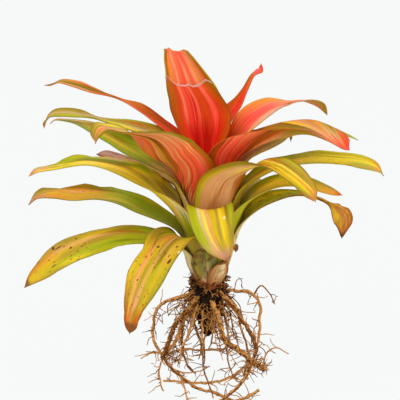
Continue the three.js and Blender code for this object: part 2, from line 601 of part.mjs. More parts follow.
// Stem and roots in one body, thicker by grow where room is cut for them, and level with the ground.
function stemAndRoots(grow) {
  const grown = (radii) => radii.map((radius) => radius + grow);
  let body = solid(turned(stemProfile(grow), STEM_SIDES));
  for (const { points, radii } of ROOTS) {
    body = body.add(solid(taperedBar(points, grown(radii), ROOT_SIDES, ROOT_STEP)));
  }
  for (const points of rootlets()) {
    body = body.add(solid(taperedBar(points, grown(ROOTLET_RADII), ROOTLET_SIDES, ROOTLET_STEP)));
  }
  return body.subtract(solid(new THREE.BoxGeometry(...GROUND_SIZE).translate(0, 0, -GROUND_SIZE[2] / 2)));
}

// Peat between the roots: a lumpy cone with room for the stem and the roots that pass through it.
function peat() {
  const random = randomFrom(PEAT_SEED);
  const rim = PEAT_PROFILE.map(([height, radius]) => [radius, height]);
  const merged = bareMesh(turned([[0, PEAT_BOTTOM], ...rim, [0, PEAT_TOP]], PEAT_SIDES));
  const positions = merged.getAttribute("position");
  for (let k = 0; k < positions.count; k++) {
    const lump = 1 + PEAT_LUMPS * (2 * random() - 1);
    positions.setXY(k, positions.getX(k) * lump, positions.getY(k) * lump);
  }
  const pieces = solid(merged).subtract(stemAndRoots(PEAT_GAP)).decompose();
  return pieces.reduce((largest, piece) => (piece.volume() > largest.volume() ? piece : largest));
}

const plant = new THREE.Group();

function addPiece(name, geometry, finish) {
  const mesh = new THREE.Mesh(geometry, new THREE.MeshStandardMaterial({ metalness: 0, ...finish }));
  mesh.name = name;
  plant.add(mesh);
}

for (const leaf of [...LEAVES, ...REMNANTS]) {
  const strips = leaf.wrap > WIDE_WRAP ? MANY_STRIPS : FEW_STRIPS;
  const rows = REMNANTS.includes(leaf) ? REMNANT_ROWS : BLADE_ROWS;
  addPiece(leaf.name, sheetGeometry(new LeafSurface(leaf), rows, strips), leaf.finish);
}
addPiece("stem_and_roots", geometryOf(stemAndRoots(0)), ROOT);
addPiece("peat", geometryOf(peat()), PEAT);

export default plant;
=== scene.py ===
"""Dresses a packed bare-rooted neoregelia plant: striped leaves, papery old sheaths, wiry roots and peat.

Every size is in millimetres in the frame of the CAD model, and becomes metres where a mesh is made.
"""

import json
import logging
import math
from dataclasses import dataclass
from enum import Enum

import bpy
import numpy as np
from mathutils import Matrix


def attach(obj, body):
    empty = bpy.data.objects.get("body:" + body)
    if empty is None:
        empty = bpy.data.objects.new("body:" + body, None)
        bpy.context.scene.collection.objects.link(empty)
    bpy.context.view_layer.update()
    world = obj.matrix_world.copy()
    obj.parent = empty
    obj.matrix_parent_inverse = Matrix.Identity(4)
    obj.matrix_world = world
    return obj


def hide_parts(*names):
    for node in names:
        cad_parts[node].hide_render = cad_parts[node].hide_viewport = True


Array = np.ndarray
Pair = tuple[float, float]
Stops = tuple[tuple[float, "Hue"], ...]
Station = tuple[float, ...]

MM = 0.001
UP = np.array([0.0, 0.0, 1.0])
FULL_TURN = 2 * np.pi
GOLDEN_SHARE = 0.618
TINY = 1e-9
FLOOR_GAP = 0.02
BODY = "root"

# The Mix node's factor, two colours and result, by the numbers of their sockets.
MIX_FACTOR = 0
MIX_FIRST = 6
MIX_SECOND = 7
MIX_RESULT = 2

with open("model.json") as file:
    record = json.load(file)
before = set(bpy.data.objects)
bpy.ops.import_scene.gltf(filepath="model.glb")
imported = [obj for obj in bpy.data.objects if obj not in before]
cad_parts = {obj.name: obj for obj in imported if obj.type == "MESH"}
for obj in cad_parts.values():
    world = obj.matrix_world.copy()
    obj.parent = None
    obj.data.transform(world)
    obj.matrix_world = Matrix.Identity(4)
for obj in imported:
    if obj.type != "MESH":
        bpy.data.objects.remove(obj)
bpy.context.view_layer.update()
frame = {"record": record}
log = logging.getLogger("neoregelia")


class Hue(Enum):
    """Colours of the plant and of the studio, as red, green and blue from 0 to 255."""

    VIVID_RED = (226, 24, 10)
    RED = (236, 56, 34)
    CRIMSON = (196, 22, 6)
    SCARLET = (246, 72, 44)
    CORAL = (250, 92, 66)
    ROSE = (250, 88, 84)
    SALMON = (240, 122, 84)
    BLUSH = (252, 156, 116)
    ORANGE = (238, 118, 44)
    RUST = (208, 66, 12)
    BURNT = (204, 92, 16)
    MAHOGANY = (160, 52, 6)
    FLAME = (242, 76, 36)
    CLAY = (234, 112, 62)
    MELON = (248, 152, 92)
    GRASS = (150, 166, 20)
    SUN = (242, 208, 40)
    APRICOT = (240, 142, 52)
    AMBER = (224, 150, 50)
    BRONZE = (184, 86, 8)
    UMBER = (140, 72, 8)
    PEACH = (228, 164, 102)
    BEIGE = (206, 170, 116)
    CREAM = (236, 214, 160)
    OLIVE = (138, 112, 8)
    KHAKI = (172, 146, 44)
    MOSS = (118, 128, 8)
    SAGE = (118, 120, 66)
    LIME = (178, 178, 24)
    GOLD = (212, 176, 28)
    YELLOW = (246, 212, 70)
    TAN = (196, 128, 66)
    BROWN = (124, 70, 30)
    DARK_BROWN = (66, 38, 20)
    PLUM = (110, 62, 44)
    DUSTY = (190, 134, 110)
    PINK = (246, 110, 106)
    ASHEN = (206, 160, 148)
    ROOT_TAN = (226, 160, 88)
    ROOT_BROWN = (122, 70, 28)
    RING = (140, 58, 24)
    PEAT = (30, 19, 12)
    STUDIO = (248, 250, 249)


def linear(hue: Hue) -> tuple[float, float, float, float]:
    """Gives a hue as linear colour with full opacity.

    Args:
        hue: the colour as screen values.

    Returns:
        Red, green, blue and alpha, each from 0 to 1.
    """
    share = np.array(hue.value) / 255
    value = np.where(share <= 0.04045, share / 12.92, ((share + 0.055) / 1.055) ** 2.4)
    return (*value.tolist(), 1.0)


@dataclass(frozen=True)
class Signal:
    """What flows out of one shader socket, with arithmetic that adds Math nodes."""

    graph: "Graph"
    socket: bpy.types.NodeSocket

    def math(self, operation: str, first: "Signal | float", second: "Signal | float" = 0.0) -> "Signal":
        """Adds one Math node on two values."""
        return self.graph.node("ShaderNodeMath", {"operation": operation}, {0: first, 1: second})

    def output(self, name: str) -> "Signal":
        """Gives another output of the same node."""
        return Signal(self.graph, self.socket.node.outputs[name])

    def __add__(self, other: "Signal | float") -> "Signal":
        """Adds a value."""
        return self.math("ADD", self, other)

    def __radd__(self, other: float) -> "Signal":
        """Adds itself to a number."""
        return self.math("ADD", other, self)

    def __sub__(self, other: "Signal | float") -> "Signal":
        """Takes a value away."""
        return self.math("SUBTRACT", self, other)

    def __rsub__(self, other: float) -> "Signal":
        """Takes itself away from a number."""
        return self.math("SUBTRACT", other, self)

    def __mul__(self, other: "Signal | float") -> "Signal":
        """Multiplies by a value."""
        return self.math("MULTIPLY", self, other)

    def __rmul__(self, other: float) -> "Signal":
        """Multiplies a number by itself."""
        return self.math("MULTIPLY", other, self)

    def __truediv__(self, other: "Signal | float") -> "Signal":
        """Divides by a value."""
        return self.math("DIVIDE", self, other)

    def __rtruediv__(self, other: float) -> "Signal":
        """Divides a number by itself."""
        return self.math("DIVIDE", other, self)


class Graph:
    """The node tree of one material, built from expressions."""

    def __init__(self, name: str) -> None:
        """Starts an empty tree.

        Args:
            name: the material's name.
        """
        self.material = bpy.data.materials.new(name)
        self.material.use_nodes = True
        self.tree = self.material.node_tree
        self.tree.nodes.clear()

    def node(
        self,
        kind: str,
        settings: dict[str, object] | None = None,
        sockets: dict[str | int, object] | None = None,
        output: int = 0,
    ) -> Signal | None:
        """Adds a node, sets it up and fills its sockets.

        Args:
            kind: the node's type.
            settings: properties that are set first; "stops" fills a colour ramp.
            sockets: values or signals by socket name or number.
            output: the number of the output to give back.

        Returns:
            The signal of that output, or nothing where the node has none.
        """
        made = self.tree.nodes.new(kind)
        for key, value in (settings or {}).items():
            if key == "stops":
                self.fill(made.color_ramp, value)
            else:
                setattr(made, key, value)
        for key, value in (sockets or {}).items():
            if isinstance(value, Signal):
                self.tree.links.new(value.socket, made.inputs[key])
            else:
                made.inputs[key].default_value = value
        return Signal(self, made.outputs[output]) if made.outputs else None

    def fill(self, ramp: bpy.types.ColorRamp, stops: Stops) -> None:
        """Puts colours at places from 0 to 1 into a ramp.

        Args:
            ramp: the ramp, which comes with two stops.
            stops: pairs of place and hue in rising order.
        """
        for _ in stops[2:]:
            ramp.elements.new(0.5)
        for element, (place, hue) in zip(ramp.elements, stops):
            element.position = place
            element.color = linear(hue)

    def ramp(self, value: Signal, stops: Stops) -> Signal:
        """Reads a colour from stops at places from 0 to 1."""
        return self.node("ShaderNodeValToRGB", {"stops": stops}, {"Fac": value})

    def blend(self, share: "Signal | float", first: object, second: object) -> Signal:
        """Mixes two colours.

        Args:
            share: how much of the second, from 0 to 1.
            first: a signal or a linear colour.
            second: a signal or a linear colour.

        Returns:
            The mixed colour.
        """
        settings = {"data_type": "RGBA", "clamp_factor": True}
        sockets = {MIX_FACTOR: share, MIX_FIRST: first, MIX_SECOND: second}
        return self.node("ShaderNodeMix", settings, sockets, output=MIX_RESULT)

    def shade(self, colour: Signal, factor: Signal) -> Signal:
        """Multiplies a colour by a value."""
        grey = self.node("ShaderNodeCombineXYZ", {}, {0: factor, 1: factor, 2: factor})
        return self.node("ShaderNodeVectorMath", {"operation": "MULTIPLY"}, {0: colour, 1: grey})

    def step(self, value: Signal, low: float, high: float) -> Signal:
        """Rises smoothly from 0 at low to 1 at high; falls where low is the higher.

        Args:
            value: the value that is compared.
            low: where it gives 0.
            high: where it gives 1.

        Returns:
            A value from 0 to 1.
        """
        settings = {"interpolation_type": "SMOOTHSTEP", "clamp": True}
        sockets = {"Value": value, "From Min": min(low, high), "From Max": max(low, high)}
        rising = self.node("ShaderNodeMapRange", settings, sockets)
        return rising if low < high else 1 - rising

    def attribute(self, name: str) -> Signal:
        """Reads a named value of the mesh's points."""
        return self.node("ShaderNodeAttribute", {"attribute_name": name}).output("Fac")

    def place(self, x: "Signal | float", y: "Signal | float", z: "Signal | float" = 0.0) -> Signal:
        """Joins three values into a vector."""
        return self.node("ShaderNodeCombineXYZ", {}, {0: x, 1: y, 2: z})

    def noise(self, where: Signal, scale: float = 1.0, detail: float = 1.0) -> Signal:
        """Gives smooth noise from 0 to 1 at a place."""
        return self.node("ShaderNodeTexNoise", {}, {"Vector": where, "Scale": scale, "Detail": detail})

    def bump(self, height: Signal, depth: float, strength: float) -> Signal:
        """Turns a height from 0 to 1 into a normal; depth is in millimetres."""
        sockets = {"Height": height, "Distance": depth * MM, "Strength": strength}
        return self.node("ShaderNodeBump", {}, sockets)

    def surface(self, colour: Signal, roughness: "Signal | float", normal: Signal, gloss: float) -> None:
        """Ends the tree in one skin.

        Args:
            colour: the base colour.
            roughness: the roughness.
            normal: the bumped normal.
            gloss: the constant specular level.
        """
        sockets = {"Base Color": colour, "Roughness": roughness, "Normal": normal}
        sockets["Specular IOR Level"] = gloss
        skin = self.node("ShaderNodeBsdfPrincipled", {}, sockets)
        self.node("ShaderNodeOutputMaterial", {}, {"Surface": skin})


def unit(vectors: Array) -> Array:
    """Scales vectors to length one."""
    return vectors / np.maximum(np.linalg.norm(vectors, axis=-1, keepdims=True), TINY)


def smooth(values: Array, low: float, high: float) -> Array:
    """Rises from 0 at low to 1 at high along the cubic 3t^2 - 2t^3."""
    t = np.clip((values - low) / (high - low), 0, 1)
    return t * t * (3 - 2 * t)


def window(values: Array, rise: Pair, fall: Pair) -> Array:
    """Rises from 0 to 1 over one stretch and falls back to 0 over another."""
    return smooth(values, *rise) * (1 - smooth(values, *fall))


def heading(turn: float) -> Array:
    """Gives the level direction at a turn from +X towards +Y."""
    return np.array([math.cos(turn), math.sin(turn), 0])


def walk(start: Array, steps: Array) -> Array:
    """Adds steps one after another: point k is the start plus the sum of the first k steps."""
    return start + np.vstack([np.zeros(3), np.cumsum(steps, axis=0)])


class Spline:
    """A centripetal Catmull-Rom curve through rows of several channels, read at an even share of its length.

    Between two rows the value is a cubic whose end slopes come from the neighbours, with knots spaced by
    the square root of the distance in the metric channels.
    """

    def __init__(self, rows: Array, metric: tuple[int, ...], samples: int = 24) -> None:
        """Measures the curve.

        Args:
            rows: one row of channels for each point.
            metric: the channels that count as distance.
            samples: samples of each span for its length.
        """
        rows = np.asarray(rows, dtype=float)
        self.metric = list(metric)
        self.spans = len(rows) - 1
        self.knots = np.vstack([2 * rows[0] - rows[1], rows, 2 * rows[-1] - rows[-2]])
        self.shares = np.linspace(0, 1, samples * self.spans + 1)
        steps = np.diff(self.at(self.shares)[:, self.metric], axis=0)
        self.lengths = np.concatenate([[0], np.cumsum(np.linalg.norm(steps, axis=1))])
        self.length = float(self.lengths[-1])

    def at(self, share: Array) -> Array:
        """Reads rows at shares of the spans."""
        place = np.minimum(share * self.spans, self.spans - TINY)
        span = np.floor(place).astype(int)
        w = (place - span)[..., None]
        p0, p1, p2, p3 = (self.knots[span + k] for k in range(4))
        pairs = ((p0, p1), (p1, p2), (p2, p3))
        d0, d1, d2 = (
            np.sqrt(np.linalg.norm((b - a)[..., self.metric], axis=-1))[..., None] for a, b in pairs
        )
        t1 = ((p1 - p0) / d0 - (p2 - p0) / (d0 + d1) + (p2 - p1) / d1) * d1
        t2 = ((p2 - p1) / d1 - (p3 - p1) / (d1 + d2) + (p3 - p2) / d2) * d1
        return p1 + w * (t1 + w * (3 * (p2 - p1) - 2 * t1 - t2 + w * (2 * (p1 - p2) + t1 + t2)))

    def at_length(self, share: Array) -> Array:
        """Reads rows at shares of the length."""
        return self.at(np.interp(np.asarray(share) * self.length, self.lengths, self.shares))


def loft_faces(rings: int, around: int) -> Array:
    """Joins each ring of a grid to the next with quads, closed round the ring.

    Args:
        rings: number of rings.
        around: points of each ring.

    Returns:
        Quads as four point numbers each.
    """
    i, j = np.meshgrid(np.arange(rings - 1), np.arange(around), indexing="ij")
    near, far = i * around, (i + 1) * around
    ahead = (j + 1) % around
    return np.stack([near + j, far + j, far + ahead, near + ahead], axis=-1).reshape(-1, 4)


def closed_faces(rings: int, around: int) -> list[Array]:
    """Joins rings as loft_faces does, and closes them to a first and a last pole that follow their points.

    Args:
        rings: number of rings.
        around: points of each ring.

    Returns:
        The quads, turned to face away from the path, then the triangles of the two poles.
    """
    j = np.arange(around)
    ahead = (j + 1) % around
    last = (rings - 1) * around
    first_pole = rings * around
    start = np.stack([np.full(around, first_pole), ahead, j], axis=-1)
    finish = np.stack([np.full(around, first_pole + 1), last + j, last + ahead], axis=-1)
    return [loft_faces(rings, around)[:, ::-1], start, finish]


@dataclass
class Skin:
    """Points and faces of a mesh under way, with its UV map and named values of its points."""

    points: Array
    faces: list[Array]
    values: dict[str, Array]
    uv: Array | None = None

    def piece(self, name: str, material: bpy.types.Material, node: str, slot: str) -> bpy.types.Object:
        """Makes the object that stands for a CAD node.

        Args:
            name: the piece's name.
            material: its finish.
            node: the CAD node that it replaces.
            slot: the record's material slot; not used.

        Returns:
            The new object.
        """
        mesh = bpy.data.meshes.new(name)
        mesh.from_pydata(self.points * MM, [], [face for block in self.faces for face in block.tolist()])
        mesh.polygons.foreach_set("use_smooth", np.ones(len(mesh.polygons), dtype=bool))
        if self.uv is not None:
            corners = np.zeros(len(mesh.loops), dtype=np.int32)
            mesh.loops.foreach_get("vertex_index", corners)
            layer = mesh.uv_layers.new(name="along")
            layer.data.foreach_set("uv", self.uv[corners].astype(np.float32).ravel())
        for key, value in self.values.items():
            attribute = mesh.attributes.new(key, "FLOAT", "POINT")
            attribute.data.foreach_set("value", value.astype(np.float32))
        mesh.materials.append(material)
        mesh.validate()
        made = bpy.data.objects.new(name, mesh)
        bpy.context.scene.collection.objects.link(made)
        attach(made, BODY)
        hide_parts(node)
        log.info("%s: %d faces", name, len(mesh.polygons))
        return made


@dataclass(frozen=True)
class Band:
    """Colours across a leaf, by side from -1 to 1, at one share of its length."""

    at: float
    stops: Stops


@dataclass(frozen=True)
class Mark:
    """One spot on a leaf: its share along and side across, its length and width, and its hue."""

    share: float
    side: float
    length: float
    width: float
    hue: Hue = Hue.PLUM


@dataclass(frozen=True)
class Flow:
    """How streaks run over one face of a leaf.

    With d the share of the length less a half, the streak at a place is its side times scale plus fan
    times d, less offset plus slope times d plus curve times d squared.
    """

    scale: float = 1.0
    fan: float = 0.0
    offset: float = 0.0
    slope: float = 0.0
    curve: float = 0.0

    def streak(self, side: Signal, share: Signal) -> Signal:
        """Gives the streak, from -1 to 1, at a side and a share of the length."""
        if self == STRAIGHT:
            return side
        d = share - 0.5
        return side * (d * self.fan + self.scale) - ((d * self.curve + self.slope) * d + self.offset)


STRAIGHT = Flow()


@dataclass(frozen=True)
class LeafFinish:
    """The look of one leaf: bands of colour along it, streaks, veins, edge, spots, dry tip and hem.

    The hem is the rim of a cut end, by its width. Without bands of its own the under face has the upper
    ones.
    """

    upper: tuple[Band, ...]
    under: tuple[Band, ...] = ()
    streak: float = 0.12
    line: Hue = Hue.OLIVE
    lines: float = 0.3
    contrast: float = 0.3
    edge: Hue = Hue.UMBER
    edge_width: float = 0.8
    tip: Hue = Hue.BROWN
    tip_from: float = 0.975
    tip_blur: float = 0.06
    blotch: Hue = Hue.AMBER
    blotches: float = 0.0
    flow: Flow = STRAIGHT
    under_flow: Flow = STRAIGHT
    speckle: float = 0.0
    speckle_from: float = 0.5
    marks: tuple[Mark, ...] = ()
    hem: float = 0.0
    hem_hue: Hue = Hue.ASHEN
    roughness: float = 0.5

    # Noises: millimetres of a wander along and of a mottle, and how fast stripes change by the millimetre.
    WANDER_ALONG = 30
    MOTTLE_ACROSS = 5
    MOTTLE_ALONG = 7
    STRIPE_ACROSS = 0.4
    STRIPE_ALONG = 0.008
    FINE_ALONG = 0.016

    # How far noise shifts the bands across, and their ends along.
    WANDER_SHIFT = 0.08
    STRIPE_DELAY = 0.22
    FINE_DELAY = 0.14

    # Where noise turns into a patch or a vein, and the rims of a mark and of a freckle.
    PATCH = (0.5, 0.66)
    VEIN = (0.55, 0.63)
    MARK_RIM = (1.1, 0.6)
    FRECKLE_RIM = (0.0, 0.08)
    FRECKLES_ACROSS = 0.34
    FRECKLES_ALONG = 0.2
    FRECKLE_ONSET = 0.15

    # How much of the skin below each layer of colour hides, and how ragged noise makes its edge.
    EDGE_COVER = 0.8
    TIP_COVER = 0.9
    HEM_COVER = 0.85
    FRECKLE_COVER = 0.75
    EDGE_RAGGED = 0.5
    RAGGED = 0.8

    BUMP_DEPTH = 0.35
    BUMP_STRENGTH = 0.6
    GLOSS = 0.1

    def material(self, name: str, seed: float, length: float, half: float) -> bpy.types.Material:
        """Builds the skin from noise stretched along the leaf.

        Colour across the leaf comes from a ramp over its side, shifted by a slow wander and by stripes, and
        mixed from one band to the next along its length. Fine stripes then darken and tint it.

        Args:
            name: the material's name.
            seed: shifts the noises.
            length: the leaf's length.
            half: half of its width.

        Returns:
            The material.
        """
        graph = Graph(name)
        along = graph.node("ShaderNodeUVMap", {"uv_map": "along"})
        parts = graph.node("ShaderNodeSeparateXYZ", {}, {0: along})
        side, share = parts * 2 - 1, parts.output("Y")
        face = graph.attribute("under")
        streak = self.flow.streak(side, share)
        if self.under_flow != self.flow:
            streak = streak + face * (self.under_flow.streak(side, share) - streak)
        x, y = streak * half, share * length
        wander = graph.noise(graph.place(seed, y / self.WANDER_ALONG))
        stripe_x = x * self.STRIPE_ACROSS + wander * 2
        stripe = graph.noise(graph.place(stripe_x, y * self.STRIPE_ALONG, seed))
        fine = graph.noise(graph.place(x + wander * 4, y * self.FINE_ALONG, seed + 4))
        mottle_x = side * half / self.MOTTLE_ACROSS
        mottle = graph.noise(graph.place(mottle_x, y / self.MOTTLE_ALONG, seed + 13), detail=4)
        across = (streak + 1) * 0.5 + (wander - 0.5) * self.WANDER_SHIFT + (stripe - 0.5) * self.streak
        later = share + (stripe - 0.5) * self.STRIPE_DELAY + (fine - 0.5) * self.FINE_DELAY
        colour = self.banded(graph, self.upper, across, later)
        if self.under:
            colour = graph.blend(face, colour, self.banded(graph, self.under, across, later))
        if self.blotches:
            patch = graph.step(mottle, *self.PATCH) * self.blotches
            colour = graph.blend(patch, colour, linear(self.blotch))
        colour = graph.blend(graph.step(fine, *self.VEIN) * self.lines, colour, linear(self.line))
        light = 1 + (stripe - 0.5) * -self.contrast + (fine - 0.5) * (self.contrast * 2)
        colour = graph.shade(colour, light + (mottle - 0.5) * 0.2)
        from_edge = graph.attribute("margin") + (mottle - 0.5) * self.EDGE_RAGGED
        edge = graph.step(from_edge, self.edge_width, self.edge_width * 0.4)
        colour = graph.blend(edge * self.EDGE_COVER, colour, linear(self.edge))
        if self.speckle:
            colour = self.speckled(graph, colour, side * half, y, share, seed)
        for mark in self.marks:
            off_along = (share - mark.share) * (length / mark.length * 2)
            off_across = (side - mark.side) * (half / mark.width * 2)
            far = off_along * off_along + off_across * off_across + (mottle - 0.5) * self.RAGGED
            colour = graph.blend(graph.step(far, *self.MARK_RIM), colour, linear(mark.hue))
        ragged = share + (mottle - 0.5) * self.tip_blur
        dry = graph.step(ragged, self.tip_from - self.tip_blur / 4, self.tip_from + self.tip_blur / 3)
        colour = graph.blend(dry * self.TIP_COVER, colour, linear(self.tip))
        if self.hem:
            from_end = graph.attribute("end") + (mottle - 0.5) * self.RAGGED
            hem = graph.step(from_end, self.hem, self.hem * 0.6)
            colour = graph.blend(hem * self.HEM_COVER, colour, linear(self.hem_hue))
        height = fine * 0.6 + stripe * 0.6 + mottle * 0.2
        rough = self.roughness + mottle * 0.12 + dry * 0.2
        normal = graph.bump(height, self.BUMP_DEPTH, self.BUMP_STRENGTH)
        graph.surface(colour, rough, normal, self.GLOSS)
        return graph.material

    def banded(self, graph: Graph, bands: tuple[Band, ...], across: Signal, share: Signal) -> Signal:
        """Mixes the bands along the leaf.

        Args:
            graph: the tree.
            bands: the bands in rising order.
            across: the place across, from 0 to 1.
            share: share of the length.

        Returns:
            The colour.
        """
        colour = None
        for k, band in enumerate(bands):
            here = graph.ramp(across, tuple(((side + 1) / 2, hue) for side, hue in band.stops))
            colour = graph.blend(graph.step(share, bands[k - 1].at, band.at), colour, here) if k else here
        return colour

    def speckled(
        self, graph: Graph, colour: Signal, x: Signal, y: Signal, share: Signal, seed: float
    ) -> Signal:
        """Puts small brown freckles, longer than wide, on the outer part of a leaf.

        Args:
            graph: the tree.
            colour: the skin's colour.
            x: millimetres across.
            y: millimetres along.
            share: share of the length.
            seed: shifts the pattern.

        Returns:
            The freckled colour.
        """
        where = graph.place(x * self.FRECKLES_ACROSS, y * self.FRECKLES_ALONG, seed)
        cells = graph.node("ShaderNodeTexVoronoi", {}, {"Vector": where, "Scale": 1.0})
        size = graph.node("ShaderNodeSeparateXYZ", {}, {0: cells.output("Color")})
        mask = graph.step(size * self.speckle - cells, *self.FRECKLE_RIM)
        onset = graph.step(share, self.speckle_from, self.speckle_from + self.FRECKLE_ONSET)
        return graph.blend(mask * onset * self.FRECKLE_COVER, colour, linear(Hue.BROWN))


def read_bands(text: str) -> tuple[Band, ...]:
    """Reads bands from text such as "0.3: sun, 0 lime, sun; 0.8: khaki, -0.2 gold, 0.4 lime, olive".

    Args:
        text: for each band its share of the length, a colon, the hue at side -1, further sides with their
            hues, and the hue at side 1. A semicolon stands between two bands.

    Returns:
        The bands in the same order.
    """
    found = []
    for band in text.split(";"):
        share, across = band.split(":")
        first, *inner, last = across.split(",")
        stops = [stop.split() for stop in ("-1" + first, *inner, "1" + last)]
        found.append(Band(float(share), tuple((float(side), Hue[name.upper()]) for side, name in stops)))
    return tuple(found)


# Rusty foot and pale sheath, which come before the bands of each blade.
SHEATH_BANDS = """
    0.03: brown, 0 ring, brown;
    0.09: beige, -0.5 cream, 0 khaki, 0.5 cream, beige;
"""


def blade(text: str) -> tuple[Band, ...]:
    """Reads the bands of a blade and puts those of its sheath before them."""
    return read_bands(SHEATH_BANDS + text)


def green_finish(centre: Hue, tip: Hue = Hue.BROWN) -> LeafFinish:
    """Gives a green leaf with a paler centre, as on the far side of the plant.

    Args:
        centre: the hue of the centre stripe.
        tip: the hue of the dry tip.

    Returns:
        The finish.
    """
    upper = blade(f"""
        0.3: moss, -0.5 grass, -0.1 {centre.name}, 0.2 lime, 0.6 grass, khaki;
        0.8: olive, -0.5 khaki, 0 {centre.name}, 0.4 lime, moss
    """)
    return LeafFinish(upper, tip=tip, tip_from=0.95)


